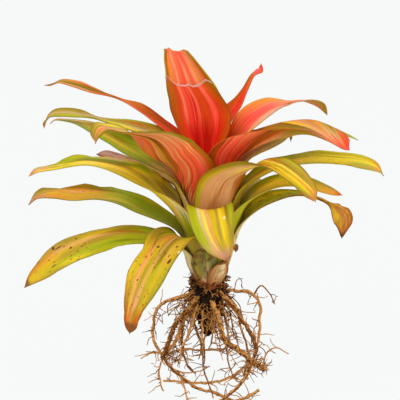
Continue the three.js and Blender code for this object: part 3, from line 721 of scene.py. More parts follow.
LEAF_FINISHES = {
    "leaf_01_low_left": LeafFinish(
        upper=blade("""
        0.3: grass, -0.3 lime, 0.3 lime, grass;
        0.46: khaki, -0.6 olive, -0.45 bronze, -0.3 khaki, 0 lime, 0.3 moss, 0.6 lime, grass;
        0.6: khaki, -0.64 gold, -0.5 peach, -0.38 peach, -0.28 khaki, -0.05 khaki, 0.1 lime, 0.4 grass,
            0.7 lime, lime;
        0.74: khaki, -0.7 khaki, -0.48 peach, -0.36 gold, 0 khaki, 0.3 lime, 0.75 sun, lime;
        0.84: khaki, -0.6 amber, -0.2 gold, 0.1 gold, 0.4 lime, 0.8 khaki, khaki;
        0.94: burnt, -0.4 gold, 0.7 gold, bronze
        """),
        speckle=0.36, speckle_from=0.55, edge=Hue.OLIVE, edge_width=1.0, tip_from=0.965, blotch=Hue.BRONZE,
        blotches=0.16, marks=(Mark(0.83, 0.25, 6, 2.2), Mark(0.735, 0.27, 3.4, 1.6), Mark(0.72, -0.3, 3, 2),
        Mark(0.67, -0.1, 2.6, 2), Mark(0.77, -0.72, 8, 1.4), Mark(0.79, -0.86, 3, 3),
        Mark(0.68, -0.75, 2.2, 1.4)),
    ),
    "leaf_02_low_right": LeafFinish(
        upper=blade("""
        0.3: cream, -0.5 sun, 0 lime, sun;
        0.5: khaki, -0.8 lime, 0.2 lime, 0.5 sun, lime;
        0.62: dusty, -0.7 khaki, 0 lime, lime;
        0.74: amber, -0.3 gold, 0.2 amber, 0.6 gold, bronze;
        0.86: amber, -0.5 gold, -0.2 amber, 0.2 tan, 0.6 amber, bronze;
        0.95: brown, -0.4 bronze, 0.1 tan, 0.5 bronze, brown
        """),
        under=blade("""
        0.5: lime, 0 sun, lime;
        0.7: tan, 0 gold, khaki;
        0.9: burnt, 0 apricot, burnt
        """),
        tip=Hue.DARK_BROWN, edge=Hue.BROWN, blotch=Hue.BROWN, blotches=0.45, lines=0.35,
    ),
    "leaf_03_low_back": green_finish(Hue.GOLD),
    "leaf_04_hanging_left": LeafFinish(
        upper=blade("""
        0.3: olive, -0.5 lime, -0.2 gold, 0.1 khaki, 0.5 lime, grass;
        0.42: khaki, -0.5 olive, -0.3 amber, -0.16 apricot, -0.06 khaki, 0.04 peach, 0.12 olive, 0.4 gold,
            0.8 gold, amber;
        0.54: gold, -0.7 gold, -0.56 amber, -0.5 melon, -0.44 peach, -0.36 gold, -0.18 gold, -0.08 khaki,
            -0.02 peach, 0.05 khaki, 0.2 olive, 0.34 gold, 0.44 peach, 0.5 gold, 0.8 gold, khaki;
        0.68: sun, -0.76 gold, -0.58 gold, -0.5 peach, -0.44 melon, -0.36 gold, -0.2 khaki, -0.08 gold,
            -0.03 peach, 0.06 gold, 0.2 lime, 0.5 gold, 0.8 lime, khaki;
        0.84: bronze, -0.6 khaki, -0.48 gold, -0.4 peach, -0.34 melon, -0.26 khaki, -0.1 peach, 0 peach,
            0.12 khaki, 0.4 gold, 0.7 khaki, olive;
        0.92: brown, -0.5 burnt, -0.3 clay, -0.1 khaki, 0.3 bronze, 0.7 burnt, brown
        """),
        under=blade("""
        0.24: tan, -0.4 sage, 0 khaki, 0.5 olive, khaki;
        0.5: khaki, 0 lime, khaki
        """),
        speckle=0.36, speckle_from=0.4, tip_from=0.945, edge=Hue.OLIVE, edge_width=1.4, streak=0.06,
        blotch=Hue.BRONZE, blotches=0.2, marks=(Mark(0.58, 0.7, 4.4, 4.4), Mark(0.495, -0.28, 3, 3),
        Mark(0.525, 0.9, 4, 3, Hue.CREAM), Mark(0.58, -0.55, 3.4, 2.2, Hue.BRONZE),
        Mark(0.48, 0.55, 2.6, 3), Mark(0.72, -0.42, 2.4, 1.8, Hue.BROWN),
        Mark(0.87, -0.35, 2.4, 2, Hue.BRONZE)),
    ),
    "leaf_05_right_back": LeafFinish(
        upper=blade("""
        0.3: grass, -0.3 lime, 0.3 grass, lime;
        0.6: lime, -0.2 sun, 0.1 yellow, 0.4 sun, 0.7 lime, grass;
        0.85: amber, -0.2 gold, 0.2 gold, 0.6 khaki, grass;
        0.95: apricot, -0.2 amber, 0.4 amber, 0.7 khaki, olive
        """),
        tip=Hue.BURNT, tip_from=0.97, blotch=Hue.BURNT, blotches=0.15, edge=Hue.KHAKI,
    ),
    "leaf_06_back_low": green_finish(Hue.YELLOW),
    "leaf_07_left": LeafFinish(
        upper=blade("""
        0.26: grass, grass;
        0.42: gold, -0.85 lime, -0.5 grass, 0.2 grass, 0.6 lime, grass;
        0.54: grass, -0.6 grass, -0.3 lime, 0 lime, 0.3 sun, 0.5 grass, grass;
        0.66: olive, -0.6 olive, -0.4 amber, -0.1 gold, 0.2 amber, 0.5 gold, khaki;
        0.76: bronze, -0.7 olive, -0.5 apricot, -0.36 peach, -0.1 amber, 0.3 gold, 0.6 amber, gold;
        0.86: olive, -0.6 khaki, -0.3 amber, 0 gold, 0.5 apricot, khaki;
        0.93: olive, -0.5 khaki, 0 tan, dusty;
        0.97: dusty, 0 tan, dusty
        """),
        tip_from=0.99, speckle=0.3, speckle_from=0.6, edge=Hue.OLIVE, streak=0.08, blotch=Hue.BRONZE,
        blotches=0.15,
    ),
    "leaf_08_folded_front": LeafFinish(
        upper=blade("""
        0.4: moss, -0.4 lime, 0.2 yellow, 0.6 khaki, moss;
        0.66: lime, -0.6 lime, -0.5 cream, -0.3 yellow, -0.1 peach, -0.02 gold, 0.16 gold, 0.22 khaki,
            0.3 khaki, 0.36 sun, 0.56 gold, 0.68 olive, 0.84 lime, olive;
        0.82: grass, -0.62 lime, -0.52 beige, -0.34 yellow, -0.2 melon, -0.08 gold, 0.06 gold,
            0.18 khaki, 0.28 khaki, 0.38 sun, 0.6 gold, 0.72 khaki, olive;
        0.91: khaki, -0.6 beige, -0.3 peach, 0 khaki, 0.5 gold, 0.8 khaki, tan;
        0.955: tan, -0.3 dusty, 0.2 dusty, tan
        """),
        under=blade("""
        0.3: sage, -0.5 lime, 0 sage, beige;
        0.55: lime, -0.6 grass, 0 lime, grass
        """),
        tip_from=0.985, edge=Hue.KHAKI, edge_width=1.0, streak=0.06,
        marks=(Mark(0.72, 0.56, 3.5, 2.4, Hue.CREAM),),
    ),
    "leaf_09_back_right_low": green_finish(Hue.KHAKI, Hue.TAN),
    "leaf_10_left_front": LeafFinish(
        upper=blade("""
        0.2: lime, -0.3 cream, 0.3 cream, lime;
        0.36: sun, -0.8 sun, -0.6 khaki, -0.4 sun, -0.2 lime, 0 sun, 0.3 yellow, 0.7 yellow, lime;
        0.5: lime, -0.8 grass, -0.6 sun, -0.4 khaki, -0.2 lime, 0 sun, 0.2 lime, 0.6 sun, lime;
        0.6: beige, -0.8 moss, -0.5 olive, -0.36 sun, -0.1 yellow, 0.1 lime, 0.3 sun, 0.6 lime, lime;
        0.74: lime, -0.7 moss, -0.42 olive, -0.32 yellow, 0 yellow, 0.4 sun, 0.6 lime, sun;
        0.88: lime, -0.4 lime, -0.2 yellow, 0.2 lime, 0.6 yellow, lime;
        0.95: beige, 0 peach, 0.5 yellow, khaki
        """),
        under=blade("""
        0.18: khaki, 0.3 cream, 0.8 lime, lime;
        0.25: lime, 0.3 cream, 0.6 lime, 0.9 sun, grass;
        0.31: cream, 0.5 peach, 0.8 yellow, cream;
        0.4: lime, 0.4 lime, 0.8 sun, yellow
        """),
        tip=Hue.TAN, edge=Hue.KHAKI, edge_width=1.0, streak=0.08, flow=Flow(slope=0.8),
        under_flow=Flow(slope=1.5),
    ),
    "leaf_11_right": LeafFinish(
        upper=blade("""
        0.28: lime, -0.4 peach, -0.1 lime, 0.3 grass, lime;
        0.44: gold, -0.2 sun, 0.1 gold, 0.26 olive, 0.4 lime, 0.7 grass, lime;
        0.6: khaki, -0.4 sun, -0.1 sun, 0.08 gold, 0.2 grass, 0.5 lime, 0.7 grass, lime;
        0.8: gold, -0.5 sun, -0.1 sun, 0.1 lime, 0.22 sun, 0.42 gold, 0.56 lime, 0.75 sun, grass;
        0.93: khaki, -0.4 lime, 0 sun, 0.3 gold, 0.7 lime, khaki;
        0.98: apricot, 0 amber, burnt
        """),
        tip_from=0.99, edge=Hue.GRASS, flow=Flow(slope=0.7), streak=0.06,
    ),
    "leaf_12_back_middle": green_finish(Hue.PEACH),
    "leaf_13_dry_tip_back": LeafFinish(
        upper=blade("""
        0.4: khaki, 0 beige, khaki;
        0.78: beige, 0 peach, tan;
        0.88: dusty, -0.3 ashen, 0.2 dusty, brown
        """),
        tip_from=0.985, roughness=0.6, edge=Hue.BROWN, blotch=Hue.BROWN, blotches=0.5,
    ),
    "leaf_14_front_right": LeafFinish(
        upper=blade("""
        0.4: olive, -0.4 amber, 0.4 peach, olive;
        0.66: bronze, -0.6 bronze, -0.3 gold, -0.1 gold, 0 yellow, 0.14 amber, 0.5 bronze, bronze;
        0.8: yellow, -0.85 gold, -0.6 gold, -0.4 sun, -0.2 khaki, -0.06 gold, 0.02 yellow, 0.14 yellow,
            0.2 khaki, 0.3 olive, 0.5 khaki, 0.75 lime, khaki;
        0.93: olive, -0.7 lime, -0.3 sun, -0.1 apricot, 0.06 yellow, 0.18 khaki, 0.5 khaki, tan;
        0.985: tan, 0 amber, tan
        """),
        under=blade("""
        0.22: lime, -0.6 dusty, 0 brown, 0.5 dusty, beige;
        0.29: lime, -0.8 khaki, -0.6 peach, -0.3 tan, 0.1 peach, 0.4 tan, 0.8 tan, khaki;
        0.36: lime, -0.75 gold, -0.6 peach, -0.3 peach, -0.2 tan, 0 peach, 0.3 peach, 0.6 tan, khaki;
        0.43: khaki, -0.76 lime, -0.64 peach, -0.14 peach, -0.08 bronze, -0.02 peach, 0.35 peach, 0.46 tan,
            0.66 bronze, olive;
        0.5: olive, -0.74 gold, -0.62 peach, -0.12 peach, -0.06 bronze, 0 peach, 0.3 peach, 0.42 bronze,
            0.5 tan, 0.7 bronze, olive;
        0.64: olive, -0.75 khaki, -0.6 peach, -0.2 yellow, 0.1 amber, 0.5 gold, khaki
        """),
        flow=Flow(offset=3.675, slope=-21, curve=30), under_flow=Flow(slope=0.75), streak=0.06,
        line=Hue.BRONZE, tip=Hue.TAN, tip_from=0.97, edge=Hue.OLIVE, edge_width=1.6,
    ),
    "leaf_15_back_right": LeafFinish(
        upper=blade("""
        0.4: amber, 0 burnt, amber;
        0.8: khaki, 0 tan, lime
        """),
        under=blade("""
        0.4: apricot, -0.6 melon, -0.3 amber, 0 melon, apricot;
        0.7: sun, -0.7 gold, -0.3 melon, 0 apricot, sun;
        0.9: lime, 0 khaki, lime
        """),
        tip=Hue.OLIVE, tip_from=0.96, edge=Hue.KHAKI, lines=0.45, line=Hue.UMBER,
    ),
    "leaf_16_left_broad": LeafFinish(
        upper=blade("""
        0.3: olive, 0 orange, olive;
        0.7: lime, -0.6 khaki, -0.3 yellow, 0.4 peach, moss;
        0.88: lime, -0.7 sun, -0.4 khaki, -0.1 peach, 0.15 clay, 0.4 khaki, 0.6 olive, 0.75 khaki,
            moss;
        0.95: olive, -0.7 khaki, -0.4 khaki, -0.1 melon, 0.15 clay, 0.3 melon, 0.6 khaki, olive;
        0.98: olive, 0 khaki, olive
        """),
        under=blade("""
        0.2: beige, -0.4 tan, 0 clay, 0.6 brown, tan;
        0.31: khaki, -0.3 sun, 0.1 lime, 0.4 peach, rust;
        0.37: burnt, 0 mahogany, 0.4 rust, mahogany;
        0.42: bronze, -0.5 tan, -0.3 clay, -0.1 coral, 0.05 clay, 0.14 coral, 0.24 melon,
            0.33 rust, 0.4 coral, 0.5 scarlet, 0.7 coral, 0.84 burnt, mahogany;
        0.56: apricot, -0.8 clay, -0.66 bronze, -0.58 peach, -0.5 apricot, -0.4 amber, -0.3 khaki,
            -0.14 bronze, -0.04 bronze, 0.02 melon, 0.08 clay, 0.14 coral, 0.2 clay, 0.27 melon,
            0.32 rust, 0.36 coral, 0.47 clay, 0.51 rust, 0.55 clay, 0.6 rust, 0.64 melon,
            0.72 clay, 0.78 melon, 0.83 bronze, 0.88 olive, olive;
        0.7: clay, -0.86 coral, -0.78 rust, -0.68 clay, -0.6 bronze, -0.52 apricot, -0.4 amber,
            -0.3 umber, -0.06 umber, 0 peach, 0.08 melon, 0.16 clay, 0.28 melon, 0.34 tan, 0.42 peach,
            0.55 melon, 0.62 tan, 0.7 peach, 0.8 khaki, moss;
        0.94: lime, -0.3 khaki, 0.2 clay, 0.6 khaki, moss
        """),
        under_flow=Flow(scale=1.16, fan=3.2, offset=0.16, slope=3.2), streak=0.05, line=Hue.BRONZE,
        lines=0.45, contrast=0.4, tip=Hue.TAN, tip_from=0.985, edge=Hue.OLIVE, edge_width=1.6,
    ),
    "leaf_17_right_hidden": LeafFinish(
        upper=blade("""
        0.4: amber, 0 burnt, amber;
        0.75: grass, 0 khaki, grass
        """),
        under=blade("""
        0.4: sun, -0.5 apricot, 0 melon, apricot;
        0.7: gold, -0.5 amber, 0 melon, gold
        """),
        tip=Hue.GRASS, tip_from=0.97, edge=Hue.KHAKI,
    ),
    "leaf_18_back_upper": green_finish(Hue.AMBER, Hue.BRONZE),
    "leaf_19_left_upper": LeafFinish(
        upper=blade("""
        0.3: yellow, 0 sun, cream;
        0.42: melon, -0.3 cream, 0 melon, 0.4 yellow, sun;
        0.53: grass, -0.2 grass, 0.1 lime, 0.5 grass, grass;
        0.66: moss, -0.4 moss, -0.1 olive, 0.1 khaki, 0.3 gold, 0.5 khaki, 0.7 grass, moss;
        0.8: khaki, -0.4 olive, -0.1 khaki, 0.3 khaki, 0.6 grass, sage;
        0.9: khaki, -0.4 beige, 0 olive, sage
        """),
        tip=Hue.TAN, tip_from=0.965, edge=Hue.MOSS, streak=0.07, lines=0.4,
    ),
    "leaf_20_right_channelled": LeafFinish(
        upper=blade("""
        0.4: bronze, 0 coral, bronze;
        0.76: olive, -0.5 olive, -0.42 umber, -0.34 sun, -0.3 amber, -0.2 peach, 0 tan, 0.2 bronze, olive;
        0.86: olive, -0.58 umber, -0.46 tan, -0.3 peach, -0.05 tan, 0.2 amber, 0.4 khaki, 0.6 olive, khaki;
        0.92: tan, -0.3 salmon, 0 peach, 0.5 beige, 0.8 khaki, sage;
        0.945: salmon, 0 coral, clay;
        0.965: coral, 0 scarlet, 0.6 scarlet, red
        """),
        under=blade("""
        0.2: beige, 0 khaki, beige;
        0.36: bronze, -0.6 rust, -0.3 red, 0 coral, 0.3 orange, khaki;
        0.5: mahogany, -0.9 mahogany, -0.8 red, -0.66 coral, -0.58 red, -0.46 flame, -0.35 red,
            -0.31 mahogany, -0.27 coral, -0.22 scarlet, -0.16 umber, 0 umber, 0.06 coral, 0.2 melon,
            0.27 amber, 0.33 umber, 0.4 amber, khaki;
        0.68: peach, -0.6 melon, -0.36 clay, -0.28 umber, 0 bronze, 0.06 clay, 0.2 melon,
            0.32 peach, 0.5 amber, khaki;
        0.78: olive, 0 olive, 0.5 khaki, khaki
        """),
        flow=Flow(offset=1.41, slope=2.65, curve=-14.5), under_flow=Flow(slope=-3.7), streak=0.06,
        line=Hue.BRONZE, lines=0.35, tip=Hue.ROSE, tip_from=0.995, edge=Hue.BRONZE, edge_width=1.0,
    ),
    "leaf_21_left_olive": LeafFinish(
        upper=blade("""
        0.35: khaki, 0 olive, beige;
        0.5: olive, -0.3 khaki, 0.2 beige, 0.6 olive, khaki;
        0.6: grass, -0.5 bronze, -0.3 tan, -0.1 olive, 0.2 beige, 0.6 sun, khaki;
        0.68: lime, -0.4 khaki, 0 lime, 0.4 sun, grass;
        0.76: khaki, -0.4 beige, 0 beige, 0.4 lime, grass;
        0.84: olive, -0.5 khaki, -0.1 beige, 0.3 lime, lime;
        0.92: olive, -0.6 khaki, -0.2 beige, 0.1 khaki, 0.4 lime, olive
        """),
        tip=Hue.TAN, tip_from=0.965, edge=Hue.OLIVE, lines=0.4, streak=0.08,
    ),
    "leaf_22_right_upper": LeafFinish(
        upper=blade("""
        0.35: rose, 0 coral, rust;
        0.53: coral, -0.3 burnt, 0.4 burnt, 0.8 rust, burnt;
        0.6: peach, -0.6 blush, -0.4 rose, -0.1 scarlet, 0.1 coral, 0.2 scarlet, 0.4 coral, 0.7 clay,
            0.84 apricot, 0.94 red, burnt;
        0.7: ashen, -0.6 blush, -0.36 coral, 0 rose, 0.3 salmon, 0.6 apricot, 0.85 amber, apricot;
        0.8: ashen, -0.4 salmon, 0 blush, 0.4 peach, 0.8 amber, olive;
        0.88: peach, 0 clay, olive
        """),
        under=blade("""
        0.5: orange, 0 amber, orange;
        0.84: blush, -0.3 ashen, 0.2 peach, khaki;
        0.91: burnt, -0.4 khaki, 0 amber, 0.4 clay, salmon;
        0.97: olive, 0 khaki, 0.6 clay, burnt
        """),
        line=Hue.RUST, lines=0.25, tip=Hue.OLIVE, tip_from=0.99, edge=Hue.KHAKI, edge_width=1.2,
        streak=0.06, flow=Flow(slope=0.6),
    ),
    "leaf_23_thin_left": LeafFinish(
        upper=blade("""
        0.35: umber, 0 rust, red;
        0.47: rust, -0.5 crimson, -0.2 umber, 0.1 rust, 0.4 red, coral;
        0.56: bronze, -0.6 mahogany, -0.3 bronze, -0.1 umber, 0.1 rust, 0.3 bronze, 0.5 rust,
            0.7 clay, melon;
        0.65: amber, -0.4 bronze, -0.1 apricot, 0.3 bronze, 0.6 clay, blush;
        0.74: amber, -0.2 bronze, 0.1 olive, 0.5 burnt, 0.8 salmon, blush;
        0.82: apricot, -0.5 bronze, -0.1 olive, 0.3 olive, 0.7 peach, melon;
        0.89: melon, -0.4 apricot, -0.2 olive, 0.4 olive, 0.7 peach, melon;
        0.94: olive, 0 khaki, 0.4 olive, 0.6 peach, melon
        """),
        under=blade("""
        0.5: bronze, 0 orange, bronze;
        0.8: salmon, 0 orange, bronze
        """),
        edge=Hue.BRONZE, lines=0.5, line=Hue.UMBER, streak=0.06,
    ),
    "leaf_24_thin_right": LeafFinish(
        upper=blade("""
        0.4: coral, 0 vivid_red, rust;
        0.66: flame, -0.4 red, 0.1 flame, 0.4 rust, 0.7 burnt, bronze;
        0.8: flame, -0.2 red, 0.1 flame, 0.4 burnt, 0.8 bronze, olive;
        0.9: flame, -0.3 clay, 0.1 burnt, 0.6 olive, olive;
        0.945: burnt, -0.2 rose, 0.4 pink, rose
        """),
        line=Hue.CRIMSON, lines=0.2, tip=Hue.RUST, tip_from=0.985, edge=Hue.BURNT, edge_width=1.0,
        streak=0.06,
    ),
    "leaf_25_heart_back": LeafFinish(
        upper=blade("""
        0.4: rust, 0 red, rust;
        0.88: sun, -0.92 olive, -0.84 bronze, -0.6 tan, -0.46 apricot, -0.38 blush, -0.32 salmon,
            -0.26 coral, -0.14 clay, -0.02 blush, 0.06 coral, 0.12 scarlet, 0.2 clay,
            0.28 coral, 0.36 blush, 0.46 clay, 0.7 apricot, 0.86 burnt, 0.95 olive, sun;
        0.965: olive, -0.84 bronze, -0.66 tan, -0.46 salmon, -0.34 coral, -0.2 scarlet, -0.06 salmon,
            0.1 coral, 0.3 clay, 0.44 blush, 0.56 clay, 0.8 apricot, 0.92 bronze, olive;
        1: olive, -0.7 tan, -0.4 rose, 0 coral, 0.5 salmon, 0.8 bronze, olive
        """),
        line=Hue.CORAL, lines=0.25, tip=Hue.ROSE, tip_from=1.0, tip_blur=0.03, edge=Hue.KHAKI,
        edge_width=1.0, streak=0.05,
    ),
    "leaf_26_heart_front": LeafFinish(
        upper=blade("""
        0.45: rust, -0.6 rust, -0.3 vivid_red, 0.6 vivid_red, rust;
        0.68: burnt, -0.75 rust, -0.6 vivid_red, -0.46 red, -0.36 vivid_red, -0.28 crimson, -0.05 crimson,
            0 red, 0.1 vivid_red, 0.14 crimson, 0.3 crimson, 0.36 vivid_red, 0.52 red, 0.66 rust, 0.85 rust,
            umber;
        0.8: burnt, -0.66 rust, -0.58 red, -0.47 coral, -0.4 coral, -0.34 red, -0.28 rust, -0.04 rust,
            0 coral, 0.05 coral, 0.09 crimson, 0.13 red, 0.16 coral, 0.19 crimson, 0.24 red, 0.34 scarlet,
            0.42 salmon, 0.48 scarlet, 0.56 rust, 0.76 bronze, umber;
        0.97: olive, -0.88 bronze, -0.62 burnt, -0.54 scarlet, -0.44 salmon, -0.36 coral, -0.3 rust,
            -0.06 rust, 0 coral, 0.05 salmon, 0.09 rust, 0.14 coral, 0.18 rust, 0.26 scarlet, 0.36 coral,
            0.43 salmon, 0.5 rust, 0.74 bronze, olive
        """),
        streak=0.04, flow=Flow(offset=0.25, slope=-1.4, curve=2.2), line=Hue.CRIMSON, lines=0.25, hem=2.0,
        tip_from=1.2, edge_width=1.0,
    ),
    "old_sheath_front": LeafFinish(
        upper=read_bands("""
        0.1: brown, 0 ring, brown;
        0.3: beige, -0.5 cream, 0 khaki, 0.5 cream, beige
        """),
        under=read_bands("""
        0.05: brown, 0 ring, brown;
        0.16: khaki, -0.6 brown, -0.2 beige, 0.2 tan, 0.6 beige, tan;
        0.4: sage, -0.5 khaki, -0.2 sage, 0.1 beige, 0.4 sage, khaki;
        0.95: khaki, -0.3 sage, 0.1 moss, 0.5 sage, moss
        """),
        line=Hue.BROWN, lines=0.4, roughness=0.6, speckle=0.7, speckle_from=0.1, blotch=Hue.DARK_BROWN,
        blotches=0.7,
    ),
    "dry_sheath_right": LeafFinish(
        upper=read_bands("""
        0.1: brown, 0 ring, brown;
        0.5: beige, 0 tan, beige
        """),
        line=Hue.DARK_BROWN, lines=0.6, tip_from=0.93, edge=Hue.BROWN, roughness=0.7, blotch=Hue.BROWN,
        blotches=0.5,
    ),
    "papery_sheath_front": LeafFinish(
        upper=read_bands("""
        0.1: brown, 0 ring, brown;
        0.4: tan, 0 beige, dusty
        """),
        under=read_bands("""
        0.08: brown, 0 ring, brown;
        0.3: brown, -0.5 tan, 0 beige, 0.5 tan, beige;
        0.7: tan, -0.3 beige, 0.3 cream, 0.7 tan, brown
        """),
        line=Hue.BROWN, lines=0.6, tip_from=0.93, edge=Hue.BROWN, roughness=0.65, blotch=Hue.BROWN,
        blotches=0.55,
    ),
}


# The funnel of nested sheaths: the oldest ring, the heights where the first and the last leaf sit on the
# stem, and height and radius of the outermost and of the innermost sheath.
OUTER_RING = 10
LOWEST_SEAT = 111
HIGHEST_SEAT = 135
OUTER_FUNNEL = (
    (108, 11.8), (111, 12.6), (118, 16), (125, 19), (143, 24.5), (152, 27), (168, 32),
    (183, 38), (203, 45), (240, 56),
)
INNER_FUNNEL = ((108, 3), (135, 3.6), (160, 5), (200, 8), (240, 13))


def funnel_radius(ring: float, height: float) -> float:
    """Gives a ring's radius at a height, between the innermost and the outermost sheath."""
    inner = np.interp(height, *zip(*INNER_FUNNEL))
    outer = np.interp(height, *zip(*OUTER_FUNNEL))
    return float(inner + (outer - inner) * ring / OUTER_RING)


@dataclass(frozen=True)
class LeafShape:
    """One leaf or remnant of a sheath, by the stations of its midrib.

    A station of the blade is reach from the axis, height, half width, roll and cup in degrees, and sway
    where it has one. The azimuth is 0 to the right, 90 to the back, 180 to the left and 270 to the front.
    The ring counts from the heart outwards, the wrap is the sheath's half angle round the funnel, and the
    shoulder the height where the sheath ends. The wave has a height, a count and a phase. A level leaf
    keeps its sections level where it leans.
    """

    name: str
    azimuth: float
    ring: float
    wrap: float
    shoulder: float
    wave: tuple[float, float, float]
    blade: tuple[Station, ...]
    level: bool = False

    def stations(self) -> Array:
        """Gives rows of reach, height, half width, roll, cup, sway and how free of the funnel it is."""
        seat = HIGHEST_SEAT - (HIGHEST_SEAT - LOWEST_SEAT) * self.ring / OUTER_RING
        rows = []
        for share in (0.0, 0.5, 1.0):
            height = seat + (self.shoulder - seat) * share
            radius = funnel_radius(self.ring, height)
            rows.append((radius, height, radius * math.radians(self.wrap), 0, self.wrap, 0, 0))
        rows += [(*station, 0, 1) if len(station) == 5 else (*station, 1) for station in self.blade]
        return np.array(rows, dtype=float)


